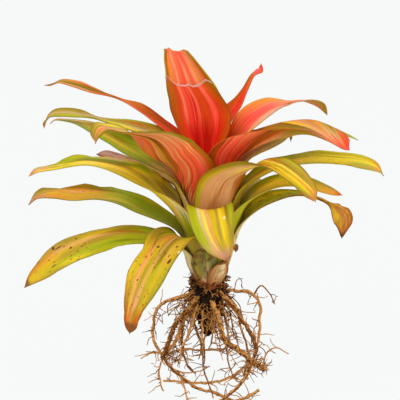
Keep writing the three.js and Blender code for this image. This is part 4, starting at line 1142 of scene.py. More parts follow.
# The leaves from the oldest and lowest to the youngest.
LEAVES = (
    LeafShape("leaf_01_low_left", azimuth=193, ring=10, wrap=38, shoulder=138, wave=(1.8, 2.8, 0.4), blade=(
        (36, 148, 14, -8, 24), (58, 154, 13, -24, 20), (82, 155, 14, -30, 16), (105, 151, 15, -30, 14),
        (127, 143, 16, -26, 16), (147, 131, 14, -20, 20), (160, 121, 9.5, -14, 24),
        (167, 115, 0.8, -10, 20),
    )),
    LeafShape("leaf_02_low_right", azimuth=358, ring=10, wrap=38, shoulder=140, wave=(1, 1.6, 2), blade=(
        (31, 163, 15, 2, 29), (44, 179, 12, 14, 28), (62, 188, 9, 22, 28), (83, 191, 6, 14, 30),
        (97, 188, 2.5, 30, 40), (109, 183, 2.4, 60, 40), (117, 176, 8, 66, 20), (122, 166, 9, 68, 16),
        (121, 151, 0.8, 66, 20),
    )),
    LeafShape("leaf_03_low_back", azimuth=85, ring=10, wrap=42, shoulder=140, wave=(1.2, 1.8, 1), blade=(
        (36, 160, 16, 0, 26), (60, 172, 17, 0, 24), (85, 174, 17, 4, 18), (108, 165, 14, 6, 18),
        (124, 150, 8, 8, 22), (131, 140, 0.8, 8, 22),
    )),
    LeafShape("leaf_04_hanging_left", azimuth=232, ring=9, wrap=46, shoulder=140,
              wave=(0.8, 1.4, 2.4), blade=(
        (32, 156, 21, 0, 36, -1), (52, 159, 24, 0, 24, 0), (75, 147, 21, 0, 17, 2), (93, 125, 19, 0, 15),
        (104, 105, 14, 0, 18, -1), (108, 94, 7, 0, 18, -1), (109, 89, 0.8, 0, 18, -1),
    )),
    LeafShape("leaf_05_right_back", azimuth=345, ring=9, wrap=36, shoulder=158, wave=(1, 1.5, 0.6), blade=(
        (34, 181, 15, 3, 26), (48, 196, 15, 12, 26), (68, 205, 13, 15, 22), (88, 206, 11, 15, 16),
        (105, 202, 8, 18, 20), (116, 199, 4, 20, 20), (121, 198, 0.8, 20, 20),
    )),
    LeafShape("leaf_06_back_low", azimuth=112, ring=9, wrap=30, shoulder=156, wave=(1.2, 1.7, 0), blade=(
        (33, 174, 16, 0, 27), (50, 187, 16, 0, 26), (70, 192, 15, 0, 20), (88, 188, 11, 0, 20),
        (100, 180, 0.8, 0, 22),
    )),
    LeafShape("leaf_07_left", azimuth=180, ring=8, wrap=38, shoulder=146, wave=(2, 2.8, 1.2), blade=(
        (31, 160, 16, -3, 29), (52, 173, 15, -14, 28), (75, 185, 15, -16, 22), (97, 189, 14, -16, 18),
        (119, 190, 12, -16, 16), (140, 191, 11, -16, 18), (153, 188, 8, -14, 24), (161, 181, 0.8, -10, 24),
    )),
    LeafShape("leaf_08_folded_front", azimuth=276, ring=8, wrap=40, shoulder=162, wave=(0, 0, 0), blade=(
        (37, 183, 20, 0, 36, -3), (47, 188, 21.5, 0, 36, -4), (56, 182, 20, 0, 24, -3),
        (61, 168, 16, 0, 16, 1), (63, 156, 10, 0, 16, 6), (64, 147, 0.8, 0, 16, 9),
    )),
    LeafShape("leaf_09_back_right_low", azimuth=48, ring=8, wrap=42, shoulder=156, wave=(1, 1.6, 0.9), blade=(
        (30, 176, 14, 0, 27), (46, 187, 14, 4, 26), (64, 191, 13, 6, 20), (80, 187, 9, 6, 20),
        (92, 179, 0.8, 6, 22),
    )),
    LeafShape("leaf_10_left_front", azimuth=197, ring=7, wrap=42, shoulder=156, wave=(1.6, 2.6, 0.7), blade=(
        (31, 174, 24, 0, 44, -1), (42, 188, 26, -6, 42, -1), (55, 201, 24, -12, 38, 0),
        (71, 213, 19, -18, 30, 2), (91, 223, 14, -20, 22, 4), (114, 229, 11, -14, 16, 4),
        (132, 228, 6, -14, 14, 3), (149, 225.5, 3.8, -22, 14, 2), (157, 223.5, 3, -24, 14, 2),
        (162, 220, 0.8, -20, 10, 2),
    )),
    LeafShape("leaf_11_right", azimuth=0, ring=7, wrap=32, shoulder=172, wave=(1.2, 2, 0.2), blade=(
        (34, 198, 16, 0, 27), (47, 209, 15, 8, 28), (66, 218, 15, 12, 24), (91, 223, 16, 14, 16),
        (118, 222, 14, 14, 14), (140, 218, 13, 12, 16), (152, 213, 10, 8, 20), (157, 208, 0.8, 0, 20),
    )),
    LeafShape("leaf_12_back_middle", azimuth=75, ring=7, wrap=36, shoulder=172, wave=(1.2, 1.8, 2), blade=(
        (33, 195, 14, 0, 25), (52, 208, 15, 0, 24), (76, 212, 15, 0, 20), (98, 205, 11, 0, 20),
        (112, 194, 0.8, 0, 22),
    )),
    LeafShape("leaf_13_dry_tip_back", azimuth=148, ring=6, wrap=46, shoulder=172, wave=(0.6, 2, 0), blade=(
        (29, 193, 12, 0, 24), (46, 202, 12, -6, 26), (66, 206, 10, -8, 26), (88, 210, 7, -10, 26),
        (104, 212, 7, -15, 25), (116, 213, 5, -20, 20), (122, 212, 0.8, -20, 20),
    )),
    LeafShape("leaf_14_front_right", azimuth=295, ring=6, wrap=52, shoulder=190, wave=(0.6, 1.5, 0), blade=(
        (38, 211, 24, 0, 36), (54, 224, 20, 0, 30, 8), (67, 230, 13, 4, 24, 20), (79, 229, 11, 6, 20, 32),
        (89, 220, 10, 8, 20, 44), (95, 209, 7, 10, 22, 52), (97, 201, 0.8, 12, 22, 56),
    )),
    LeafShape("leaf_15_back_right", azimuth=30, ring=6, wrap=34, shoulder=190, wave=(0.8, 1.6, 1.4), blade=(
        (36, 217, 14, 0, 23), (46, 223, 12, 8, 26), (61, 228, 10, 14, 24), (75, 233, 8, 14, 20),
        (82, 235, 6, 10, 26), (87, 234, 4, 10, 30), (88, 230, 0.8, 10, 20),
    )),
    LeafShape("leaf_16_left_broad", azimuth=222, ring=4, wrap=50, shoulder=188, wave=(0.8, 1.8, 0.5), blade=(
        (33, 217, 35, 6, 50), (49, 232, 37, 13, 40, -5), (65, 248, 29, 10, 34, -8),
        (83, 257, 20, 0, 30, -10), (99, 262, 13, -10, 24, -13), (110, 265, 10, -10, 24, -13),
        (115, 260, 7, -4, 26, -14), (116, 254, 0.8, 0, 26, -14),
    )),
    LeafShape("leaf_17_right_hidden", azimuth=12, ring=5, wrap=46, shoulder=198, wave=(0.8, 1.6, 0.2), blade=(
        (34, 222, 14, 0, 24), (47, 231, 13, 6, 26), (64, 239, 12, 8, 22), (88, 245, 11, 8, 20),
        (113, 244, 9, 8, 18), (130, 238, 5, 6, 20), (139, 234, 0.8, 4, 20),
    )),
    LeafShape("leaf_18_back_upper", azimuth=86, ring=5, wrap=24, shoulder=200, wave=(1, 1.7, 1.7), blade=(
        (32, 222, 13, 0, 23), (46, 233, 14, 0, 24), (66, 239, 14, 0, 22), (86, 236, 11, 0, 20),
        (101, 226, 0.8, 0, 22),
    )),
    LeafShape("leaf_19_left_upper", azimuth=168, ring=5, wrap=54, shoulder=184, wave=(1.2, 2, 0.4), blade=(
        (32, 205, 19, -4, 34), (47, 217, 19, -16, 30), (63, 226, 18, -20, 26), (81, 235, 15, -20, 20),
        (100, 244, 11, -18, 16), (118, 250, 7, -12, 16), (132, 252, 4, -6, 16), (142, 252, 2.6, 0, 16),
        (146, 249, 0.8, 0, 16),
    )),
    LeafShape("leaf_20_right_channelled", azimuth=338, ring=4, wrap=62, shoulder=200,
              wave=(0.8, 2, 2.8), blade=(
        (29, 225, 36, 0, 74, -1), (46, 238, 31, -4, 64, 1), (69, 248, 26, -2, 50, 5),
        (92, 253, 21, 4, 38, 8), (109, 250, 16, 10, 26, 10), (120, 245, 12, 12, 24, 12),
        (126, 240, 6, 12, 24, 13),
    )),
    LeafShape("leaf_21_left_olive", azimuth=158, ring=3, wrap=54, shoulder=208, wave=(0.8, 2.2, 1.4), blade=(
        (29, 231, 14, -2, 28), (44, 239, 11, -12, 28), (60, 244, 10, -16, 24), (81, 248, 9, -14, 20),
        (101, 250, 6.4, -6, 18), (112, 251.5, 4.6, -6, 18), (127, 253, 7.4, -18, 18),
        (142, 253, 7.8, -20, 20), (155, 251, 6.8, -20, 24), (162, 244, 5.8, -14, 26),
        (164, 238.5, 0.8, 0, 20),
    )),
    LeafShape("leaf_22_right_upper", azimuth=25, ring=3, wrap=54, shoulder=208, wave=(0.5, 1.5, 0), blade=(
        (29, 239, 15, 4, 31), (45, 256, 16, 16, 28), (63, 265, 12, 22, 22), (80, 267, 6, 20, 16),
        (91, 268, 3.5, 5, 12), (101, 267, 4.5, -20, 10), (114, 262, 5, -30, 12), (121, 253, 0.8, -30, 12),
    )),
    LeafShape("leaf_23_thin_left", azimuth=150, ring=2, wrap=44, shoulder=212, wave=(0.4, 2, 0), blade=(
        (23, 232, 11, -2, 28), (35, 242, 9, -14, 28), (50, 251, 8, -20, 26), (71, 262, 6, -20, 20),
        (96, 269, 2.4, 0, 12), (120, 273, 5, -20, 12), (142, 277, 5.5, -22, 14), (159, 278, 4.5, -15, 16),
        (169, 274, 3.5, -10, 20), (176, 273, 0.8, 0, 20),
    )),
    LeafShape("leaf_24_thin_right", azimuth=55, ring=2, wrap=36, shoulder=214, wave=(0, 0, 0), blade=(
        (25, 241, 8, 0, 18, 5), (38, 255, 8, 20, 20, 6), (50, 265, 5.4, 44, 20, 3),
        (60, 277, 3.4, 58, 16, 1), (70, 287, 3, 50, 14), (79, 290, 2.8, 40, 10), (85, 291, 2.2, 20, 10),
        (86, 296, 0.8, 10, 10),
    )),
    LeafShape("leaf_25_heart_back", azimuth=100, ring=1, wrap=72, shoulder=205, wave=(0.4, 1.5, 0),
              level=True, blade=(
        (17, 232, 20, 0, 68, 1), (23, 258, 28, 0, 58, 5), (27, 280, 26, 0, 48, 11),
        (31, 298, 19, 0, 42, 17), (33, 308, 15, 0, 38, 21), (35, 316, 11, 0, 36, 24),
    )),
    LeafShape("leaf_26_heart_front", azimuth=95, ring=0, wrap=78, shoulder=200, wave=(0.4, 1.3, 1),
              level=True, blade=(
        (9, 236, 21, 0, 80, 2), (9, 250, 29, 0, 68, 4), (11, 266, 31, 0, 56, 7), (12, 280, 26, 0, 48, 12),
        (14, 293, 21, 0, 44, 18),
    )),
)

REMNANTS = (
    LeafShape("old_sheath_front", azimuth=266, ring=10.9, wrap=40, shoulder=130, wave=(0, 0, 0), blade=(
        (24, 138, 12, 0, 28), (26.5, 145, 6, 0, 20),
    )),
    LeafShape("dry_sheath_right", azimuth=320, ring=10.9, wrap=12, shoulder=128, wave=(0, 0, 0), blade=(
        (24, 137, 5, 0, 20), (27, 144, 5.5, 0, 20), (31, 147, 4, 10, 30), (33, 144, 2, 10, 30),
    )),
    LeafShape("papery_sheath_front", azimuth=297, ring=12.6, wrap=30, shoulder=117, wave=(0, 0, 0), blade=(
        (22.5, 122, 10, 0, 26), (26, 129, 8, 4, 22), (28.5, 134, 4, 8, 18),
    )),
)

# How far a leaf's end runs past its last station, in millimetres by side from -1 to 1.
RIMS = {
    "leaf_25_heart_back": (
        (-1, -1.5), (-0.75, 0.6), (-0.3, -0.9), (0.2, -0.2), (0.42, 2.6), (0.52, 3), (0.6, 1.2), (0.8, 1.6),
        (1, 1.4),
    ),
    "leaf_26_heart_front": (
        (-1, -3), (-0.86, -0.2), (-0.72, -0.6), (-0.5, -3.8), (-0.3, -5.6), (-0.1, -6.6), (0.04, -4.2),
        (0.14, -5.6), (0.4, -5.2), (0.6, -3.2), (0.76, 0.8), (0.87, 5.2), (1, 1),
    ),
    "leaf_20_right_channelled": (
        (-1, -5), (-0.7, -2), (-0.2, 0.4), (0.1, 1.4), (0.3, 0.4), (1, -4),
    ),
    "leaf_16_left_broad": (
        (-1, -1), (0, 2), (1, -1),
    ),
}
PLAIN_RIM = ((-1, -1.5), (0, 1.2), (1, -1.5))
RAGGED_RIM = (
    (-1, 0), (-0.8, 1.4), (-0.55, -1.6), (-0.3, 0.8), (-0.1, -0.8), (0.2, 1.6), (0.5, -1.4), (0.8, 1),
    (1, -1),
)

# How far a leaf's margins stand out from their stations' width, in millimetres by share of the length:
# the margin at side -1, then the one at side 1.
STRAIGHT_MARGIN = ((0, 0), (1, 0))
TRIMS = {
    "leaf_01_low_left": (
        ((0.36, 0), (0.44, -1.4), (0.53, -1.4), (0.6, 0.6), (0.75, 0)),
        (
            (0.36, 0), (0.42, -3), (0.5, -5.5), (0.57, -1.5), (0.66, 1.2), (0.76, -0.6), (0.83, -3.2),
            (0.9, -0.8), (1, 0),
        ),
    ),
    "leaf_02_low_right": (
        ((0.1, 0), (0.3, 1), (0.5, 0)),
        (
            (0.1, 0), (0.2, 5), (0.36, 5), (0.5, 0), (0.76, 0), (0.81, -2.6), (0.835, -0.8), (0.85, -2.4),
            (0.875, 0.4), (0.91, 0.2), (0.95, -1), (1, 0),
        ),
    ),
    "leaf_04_hanging_left": (
        ((0.44, 0), (0.53, -3.4), (0.62, -0.4), (0.7, 0.5), (0.8, -2.6), (0.9, -4.6), (0.95, -2.4), (1, 0)),
        ((0.68, 0), (0.78, -2.4), (0.87, -6.4), (0.93, -3.6), (0.965, 0.4), (1, 0)),
    ),
    "leaf_05_right_back": (
        ((0.1, 0), (0.2, 5), (0.4, 5), (0.54, 0)),
        ((0.1, 0), (0.2, 4), (0.4, 5), (0.54, 0)),
    ),
    "leaf_07_left": (
        ((0.55, 0), (0.6, 1), (0.65, -1.8), (0.72, 0.8), (0.84, -3.6), (0.92, 2.4), (0.98, 0.4), (1, 0)),
        ((0.74, 0), (0.85, -4), (0.93, 0)),
    ),
    "leaf_10_left_front": (
        (
            (0.08, 0), (0.18, 9), (0.32, 8), (0.46, 0), (0.66, 1), (0.73, -3), (0.8, 0.6), (0.85, 0),
            (0.885, -4), (0.95, 0), (1, 0),
        ),
        STRAIGHT_MARGIN,
    ),
    "leaf_11_right": (
        (
            (0.1, 0), (0.2, 5), (0.36, 5), (0.5, 0), (0.62, 0), (0.74, -5), (0.83, -6.5), (0.89, -2),
            (0.94, 0.4), (1, 0),
        ),
        ((0.36, 0), (0.42, -2.4), (0.5, 0), (0.58, -4), (0.64, -4), (0.72, 0)),
    ),
    "leaf_14_front_right": (
        ((0.6, 0), (0.75, 1), (0.85, -1), (1, 0)),
        ((0.6, 0), (0.8, 1.4), (0.9, -0.6), (1, 0)),
    ),
    "leaf_16_left_broad": (
        ((0.4, 0), (0.8, 0)),
        ((0.44, 0), (0.5, -1.8), (0.6, -0.6), (0.72, 0)),
    ),
    "leaf_19_left_upper": (
        ((0.56, 0), (0.66, -3.4), (0.72, -1), (0.84, 0.8), (1, 0)),
        ((0.6, 0), (0.7, -3), (0.8, 0)),
    ),
    "leaf_20_right_channelled": (
        ((0.7, 0), (0.82, 1), (0.92, -1), (1, 0)),
        ((0.7, 0), (0.86, -1.6), (0.95, 0.6), (1, 0)),
    ),
    "leaf_22_right_upper": (
        ((0.6, 0), (0.72, -2.6), (0.82, -3.4), (0.9, 0), (1, 0)),
        ((0.72, 0), (0.82, -3), (0.88, 0.4), (1, 0)),
    ),
    "leaf_23_thin_left": (
        ((0.36, 0), (0.5, -2.4), (0.62, 0), (0.74, -2.4), (0.86, 0.6), (1, 0)),
        ((0.36, 0), (0.5, -2.6), (0.64, 0), (0.76, -0.8), (1, 0)),
    ),
    "leaf_24_thin_right": (
        ((0.84, 0), (0.92, -1.6), (0.96, 1), (1, 0)),
        ((0.74, 0), (0.83, -1.8), (0.92, -1.8), (0.96, 0.6), (1, 0)),
    ),
}


class LeafSurface:
    """A leaf's sheet about its middle surface.

    The section at a share of the length is an arc of the cup's angle: the midrib's point, plus the
    direction across times radius times sin(side times cup), plus the direction up times radius times
    1 - cos(side times cup), with a wave that grows as the square of the side. Each face lies half the
    thickness to either side, and fine ridges run along both.
    """

    STEP_ALONG = 0.004
    STEP_ACROSS = 0.02
    SHEATH_THICK = 0.7
    RIB_THICK = 1.3
    MARGIN_THICK = 0.7
    RIDGE = 0.16
    RIDGE_TURNS = (1.15, 2.1)
    WAVE_LAG = 1.7

    # The flat part of the section ends at a side, and its round edge has further sides with their swell.
    FLAT_SIDE = 0.96
    EDGE_SIDES = (1, 0.993, 0.98)
    EDGE_SWELL = (0, 0.66, 0.93)
    CROWDING = 1.25

    def __init__(self, shape: LeafShape) -> None:
        """Prepares the midrib.

        Args:
            shape: the leaf's stations.
        """
        self.shape = shape
        self.spline = Spline(shape.stations(), (0, 1, 5))
        self.outward = heading(math.radians(shape.azimuth))
        self.sideways = np.cross(UP, self.outward)
        self.half = float(self.spline.knots[1:-1, 2].max())

    def rib(self, rows: Array) -> Array:
        """Gives the midrib's points of rows."""
        return rows[..., 0:1] * self.outward + rows[..., 5:6] * self.sideways + rows[..., 1:2] * UP

    def point(self, share: Array, side: Array) -> Array:
        """Gives points of the middle surface; past the end it runs on straight.

        Args:
            share: shares of the length.
            side: sides from -1 to 1.

        Returns:
            The points.
        """
        inside = np.clip(share, 0, 1)
        row = self.spline.at_length(inside)
        ahead = self.rib(self.spline.at_length(np.minimum(inside + self.STEP_ALONG, 1)))
        behind = self.rib(self.spline.at_length(np.maximum(inside - self.STEP_ALONG, 0)))
        free = row[..., 6:7]
        tangent = unit(unit(ahead - behind) * free + UP * (1 - free))
        lean = 0 if self.shape.level else (tangent @ self.sideways)[..., None]
        level = unit(self.sideways - lean * tangent)
        roll = np.radians(row[..., 3:4])
        held = (level * tangent).sum(-1, keepdims=True) * tangent
        across = level * np.cos(roll) + np.cross(tangent, level) * np.sin(roll) + held * (1 - np.cos(roll))
        up = unit(np.cross(tangent, across))
        angle = np.radians(row[..., 4:5])
        radius = row[..., 2:3] / angle
        place = (side * (1 + self.trim(inside, side) * side * side / row[..., 2]))[..., None]
        point = self.rib(row) + across * radius * np.sin(place * angle)
        lift = radius * (1 - np.cos(place * angle)) + self.wave(inside, side)[..., None]
        return point + up * lift + tangent * ((share - inside) * self.spline.length)[..., None]

    def trim(self, share: Array, side: Array) -> Array:
        """Gives how far the nearer margin stands out from the stations' width."""
        margins = TRIMS.get(self.shape.name, (STRAIGHT_MARGIN, STRAIGHT_MARGIN))
        left, right = (np.interp(share, *zip(*points)) for points in margins)
        return np.where(side < 0, left, right)

    def wave(self, share: Array, side: Array) -> Array:
        """Gives the lift of the waved edge and of the fine ridges, each a sine in its own stretch.

        Args:
            share: shares of the length.
            side: sides from -1 to 1.

        Returns:
            The lift above the arc.
        """
        height, count, phase = self.shape.wave
        lag = np.where(side > 0, self.WAVE_LAG, 0)
        waved = height * window(share, (0.3, 0.5), (0.88, 1)) * side * side
        broad, narrow = (side * self.half * turns for turns in self.RIDGE_TURNS)
        ridges = np.sin(broad + phase) + 0.6 * np.sin(narrow + 5 * share)
        ridged = self.RIDGE * window(share, (0.2, 0.4), (0.8, 1))
        return waved * np.sin(FULL_TURN * count * share + phase + lag) + ridged * ridges

    def thickness(self, share: Array, side: Array) -> Array:
        """Gives the sheet's thickness: even in the sheath, thickest at the midrib of the blade."""
        across = self.MARGIN_THICK + (self.RIB_THICK - self.MARGIN_THICK) * (1 - side * side)
        return self.SHEATH_THICK + (across - self.SHEATH_THICK) * window(share, (0.2, 0.45), (0.9, 1))

    def normal(self, share: Array, side: Array) -> Array:
        """Gives the direction square to the sheet, towards its upper face.

        Args:
            share: shares of the length.
            side: sides from -1 to 1.

        Returns:
            Vectors of length one.
        """
        inside = np.clip(share, 0, 1)
        along = self.point(np.minimum(inside + self.STEP_ALONG, 1), side)
        along = along - self.point(np.maximum(inside - self.STEP_ALONG, 0), side)
        across = self.point(inside, np.minimum(side + self.STEP_ACROSS, 1))
        across = across - self.point(inside, np.maximum(side - self.STEP_ACROSS, -1))
        return unit(np.cross(along, across))

    def skin(self, rows: int, strips: int, rim: tuple[Pair, ...]) -> Skin:
        """Builds the closed sheet with rounded edges.

        A ring of points goes over the upper face from side -1 to 1 and back under it. Its offset from the
        middle is half the thickness times a swell that falls to 0 at the edges. The rows crowd towards the
        tip as a power of the share that is left.

        Args:
            rows: strips along.
            strips: strips across the flat part.
            rim: how far the end runs on, by side.

        Returns:
            The sheet with its UV map. Its named values tell the "under" face, and how many millimetres the
            "margin" and the "end" are away.
        """
        edge = np.array(self.EDGE_SIDES)
        flat = np.linspace(-self.FLAT_SIDE, self.FLAT_SIDE, strips + 1)
        over = np.concatenate([-edge, flat, edge[::-1]])
        swell = np.concatenate([self.EDGE_SWELL, np.ones(strips + 1), self.EDGE_SWELL[::-1]])
        sides = np.concatenate([over, over[-2:0:-1]])
        sign = np.concatenate([swell, -swell[-2:0:-1]])
        last = len(over) - 1
        around = 2 * last
        even = 1 - (1 - np.linspace(0, 1, rows + 1)) ** self.CROWDING
        run = np.interp(sides, *zip(*rim)) / self.spline.length
        share = even[:, None] * (1 + run[None, :])
        side = np.broadcast_to(sides, share.shape)
        offset = self.normal(share, side) * (self.thickness(share, side) / 2 * sign)[..., None]
        points = self.point(share, side) + offset
        j = np.arange(1, last - 1)
        last_ring = rows * around
        cap = np.stack([j, j + 1, around - j - 1, around - j], axis=-1)
        corners = np.array([(0, 1, around - 1), (last - 1, last, last + 1)])
        caps = [cap, cap[:, ::-1] + last_ring, corners, corners[:, ::-1] + last_ring]
        inside = np.clip(share, 0, 1)
        uv = np.stack([(side + 1) / 2, inside], axis=-1).reshape(-1, 2)
        under = np.where(sign > 0, 0.0, np.where(sign < 0, 1.0, 0.5))
        width = self.spline.at_length(inside)[..., 2]
        end = np.maximum((1 + run[None, :] - share) * self.spline.length, 0)
        margin = np.minimum((1 - abs(side)) * width, end)
        named = {"under": np.broadcast_to(under, share.shape), "margin": margin, "end": end}
        values = {key: value.ravel() for key, value in named.items()}
        return Skin(points.reshape(-1, 3), [loft_faces(rows + 1, around), *caps], values, uv)


@dataclass
class Foliage:
    """Every leaf and every remnant of an old sheath, each as one fine sheet."""

    rows: int = 104
    strips: int = 24
    seed_step: float = 7.3

    def build(self, slots: dict[str, str]) -> None:
        """Makes and dresses each leaf.

        Args:
            slots: the record's material slot of each CAD node.
        """
        for number, shape in enumerate((*LEAVES, *REMNANTS)):
            surface = LeafSurface(shape)
            rim = RAGGED_RIM if shape in REMNANTS else RIMS.get(shape.name, PLAIN_RIM)
            finish = LEAF_FINISHES[shape.name]
            seed = number * self.seed_step
            material = finish.material(shape.name + "_skin", seed, surface.spline.length, surface.half)
            skin = surface.skin(self.rows, self.strips, rim)
            skin.piece(shape.name + ".sheet", material, shape.name, slots[shape.name])


@dataclass(frozen=True)
class RootPath:
    """One main root: its radius at both ends and the points along it."""

    radii: Pair
    points: tuple[Station, ...]


ROOTS = (
    RootPath((1.7, 1.2), (
        (-8, -2, 101), (-23, -4, 95), (-32, -2, 92), (-42, 2, 86), (-48, 4, 77), (-50, 6, 66), (-51, 6, 55),
        (-48, 3, 45), (-42, -4, 38),
    )),
    RootPath((2.7, 2), (
        (-6, -6, 102), (-14, -14, 90), (-24, -16, 80), (-31, -16, 69), (-36, -14, 54), (-42, -9, 37),
    )),
    RootPath((2.1, 1.6), (
        (-4, -3, 98), (-14, -8, 84), (-23, -6, 72), (-28, -7, 56), (-38, -9, 41),
    )),
    RootPath((2.4, 2.5), (
        (0, -6, 102), (5, -16, 90), (10, -19, 79), (13, -20, 65), (16, -19, 57), (26, -16, 49),
        (35, -14, 41), (44, -14, 33), (52, -14, 28),
    )),
    RootPath((2.1, 1.4), (
        (6, -4, 104), (16, -12, 96), (25, -16, 88), (31, -18, 77), (38, -18, 66), (43, -16, 54),
        (44, -14, 45), (40, -16, 36), (36, -20, 27), (31, -24, 19), (22, -27, 11), (13, -29, 4),
        (7, -30, 1),
    )),
    RootPath((1.6, 1.2), (
        (8, 3, 100), (26, 9, 96), (38, 12, 94), (45, 12, 88), (49, 12, 79), (48, 12, 69), (48, 8, 57),
        (44, -8, 44), (43, -13, 40),
    )),
    RootPath((1.6, 1.4), (
        (-41, -9, 38), (-33, -5, 25), (-23, 0, 14), (-12, 3, 4), (-5, 2.4, 0.9), (5, -3, 0.8),
        (15, -16, 1.4), (24, -24, 1.1), (35, -17, 1.2), (47, 0, 1.6),
    )),
    RootPath((1.3, 1.1), (
        (42, -13, 39), (33, 2, 23), (23, 10, 12), (12, 15, 5), (-2, 18, 2), (-17, 20, 1.2), (-30, 24, 1),
        (-42, 26, 0.9),
    )),
    RootPath((1, 0.9), (
        (-41, -9, 39), (-28, 8, 38), (-18, 12, 38), (-8, 14, 36), (3, 13, 37), (12, 4, 40), (17, -14, 51),
        (16, -19, 58),
    )),
    RootPath((0.9, 0.7), (
        (-6, -4, 94), (-13, -6, 76), (-8, -8, 57), (-5, -10, 44), (-4, -11, 28), (0, -12, 15), (4, -14, 4),
        (5, -17, 0.7),
    )),
    RootPath((0.9, 0.7), (
        (-41, -9, 38), (-45, -6, 24), (-44, -3, 12), (-42, 0, 2), (-41, 2, 0.6),
    )),
    RootPath((1.2, 0.9), (
        (5, 7, 98), (16, 20, 90), (25, 24, 78), (29, 25, 66), (31, 26, 54), (36, 26, 40), (38, 29, 24),
        (36, 35, 9), (34, 39, 0.8),
    )),
    RootPath((1.4, 0.9), (
        (-4, 8, 98), (-12, 22, 86), (-20, 31, 66), (-24, 36, 44), (-23, 41, 22), (-17, 44, 6),
        (-12, 46, 0.8),
    )),
    RootPath((0.9, 0.7), (
        (-26, -1, 17), (-21, -14, 8), (-19, -24, 2), (-18, -31, 0.7),
    )),
    RootPath((0.8, 0.6), (
        (16, -19, 56), (20, -19, 32), (27, -21, 19), (33, -23, 21),
    )),
    RootPath((0.9, 0.5), (
        (-42, -4, 40), (-52, -1, 39), (-62, 0, 33),
    )),
    RootPath((0.8, 0.5), (
        (50, -14, 29), (54, -14, 44), (62, -14, 49), (74, -14, 43),
    )),
    RootPath((0.8, 0.5), (
        (42, 12, 91), (49, 12, 100), (56, 12, 94), (62, 12, 82),
    )),
    RootPath((0.7, 0.5), (
        (-33, -5, 25), (-22, -2, 20), (-6, -2, 22), (2, -3, 27),
    )),
)


def waves(place: Array, seed: float, period: float) -> Array:
    """Sums three sines of falling height over a place in millimetres, from about -1 to 1."""
    turn = 2 * np.pi * place / period
    first = np.sin(turn + seed * 1.7)
    return (first + 0.6 * np.sin(1.83 * turn + seed * 2.9) + 0.4 * np.sin(3.11 * turn + seed * 4.3)) / 2


# Millimetres of one stray of a root's path, of one lump, of one radian of the ridges' sine and of the fade
# of the stray at both ends.
STRAY_PERIOD = 13.0
LUMP_PERIOD = 7.0
RIDGE_LENGTH = 3
END_FADE = 4

# How far a path with a roughness of 1 strays, and how far the point at an end stands out, in radii.
STRAY = 1.6
BLUNTNESS = 0.6


def tube(points: Array, radii: Pair, sides: int, step: float, seed: float, rough: float) -> Skin:
    """Carries a round profile along a smooth path, closed by a point at each end.

    The ring at a place is centre plus radius times cos and sin of the turn in two directions square to
    the path. Waves of the place shift the centre and swell the radius.

    Args:
        points: the path's points.
        radii: the radius at both ends.
        sides: points of each ring.
        step: length between two rings.
        seed: shifts the waves.
        rough: share of the radius by which it strays.

    Returns:
        The tube, with a tone that follows its lumps, lower in the hollows between them as painted shade, and
        higher above than below as painted top light and underside shade.
    """
    spline = Spline(points, (0, 1, 2), samples=12)
    rings = max(3, round(spline.length / step) + 1)
    share = np.linspace(0, 1, rings)
    place = share * spline.length
    radius = (radii[0] + (radii[1] - radii[0]) * share)[:, None]
    fade = np.minimum(1, np.minimum(place, spline.length - place) / END_FADE)[:, None]
    stray = np.stack([waves(place, seed + k, STRAY_PERIOD) for k in (1, 5, 9)], axis=-1)
    centre = spline.at_length(share) + stray * fade * radius * rough * STRAY
    tangent = unit(np.gradient(centre, axis=0))
    flattest = np.linalg.svd(tangent - tangent.mean(0))[2][-1]
    normal = unit(np.cross(tangent, flattest + 1e-4))
    other = np.cross(tangent, normal)
    turn = np.linspace(0, FULL_TURN, sides, endpoint=False)
    ridges = 0.7 * np.sin(3 * turn + place[:, None] / RIDGE_LENGTH + seed)
    lump = 1 + rough * (waves(place, seed + 3, LUMP_PERIOD)[:, None] + ridges)
    ring = normal[:, None] * np.cos(turn)[:, None] + other[:, None] * np.sin(turn)[:, None]
    body = (centre[:, None] + ring * (radius * lump)[..., None]).reshape(-1, 3)
    first_pole = centre[0] - tangent[0] * radius[0] * BLUNTNESS
    last_pole = centre[-1] + tangent[-1] * radius[-1] * BLUNTNESS
    # Painted shade and light: the tone falls in the hollows between lumps and on each ring's underside, and
    # rises on its top.
    tone = ((lump - 1) * 1.6 + ring[..., 2] * 0.75).ravel()
    points = np.vstack([body, first_pole, last_pole])
    points[:, 2] = np.maximum(points[:, 2], FLOOR_GAP)
    values = {"tone": np.append(tone, [0, 0]) + seed * GOLDEN_SHARE % 1}
    return Skin(points, closed_faces(rings, sides), values)


def revolve(radius: Array, height: Array, around: int, poles: Pair, tone: float) -> Skin:
    """Closes a round surface from its radius at each height and turn: radius times cos and sin of the turn.

    Args:
        radius: the radius by height and turn.
        height: the heights from the bottom up.
        around: points of each ring.
        poles: height of the bottom and of the top point.
        tone: the value of "tone" all over.

    Returns:
        The surface.
    """
    turn = np.linspace(0, FULL_TURN, around, endpoint=False)
    level = np.broadcast_to(height[:, None], radius.shape)
    grid = np.stack([radius * np.cos(turn), radius * np.sin(turn), level], axis=-1)
    points = np.vstack([grid.reshape(-1, 3), [(0, 0, pole) for pole in poles]])
    return Skin(points, closed_faces(len(height), around), {"tone": np.full(len(points), tone)})


def merged(parts: list[Skin]) -> Skin:
    """Joins skins into one, each with its own point numbers shifted past those before it."""
    starts = np.cumsum([0] + [len(part.points) for part in parts[:-1]])
    faces = [block + start for part, start in zip(parts, starts) for block in part.faces]
    points = np.vstack([part.points for part in parts])
    return Skin(points, faces, {"tone": np.concatenate([part.values["tone"] for part in parts])})


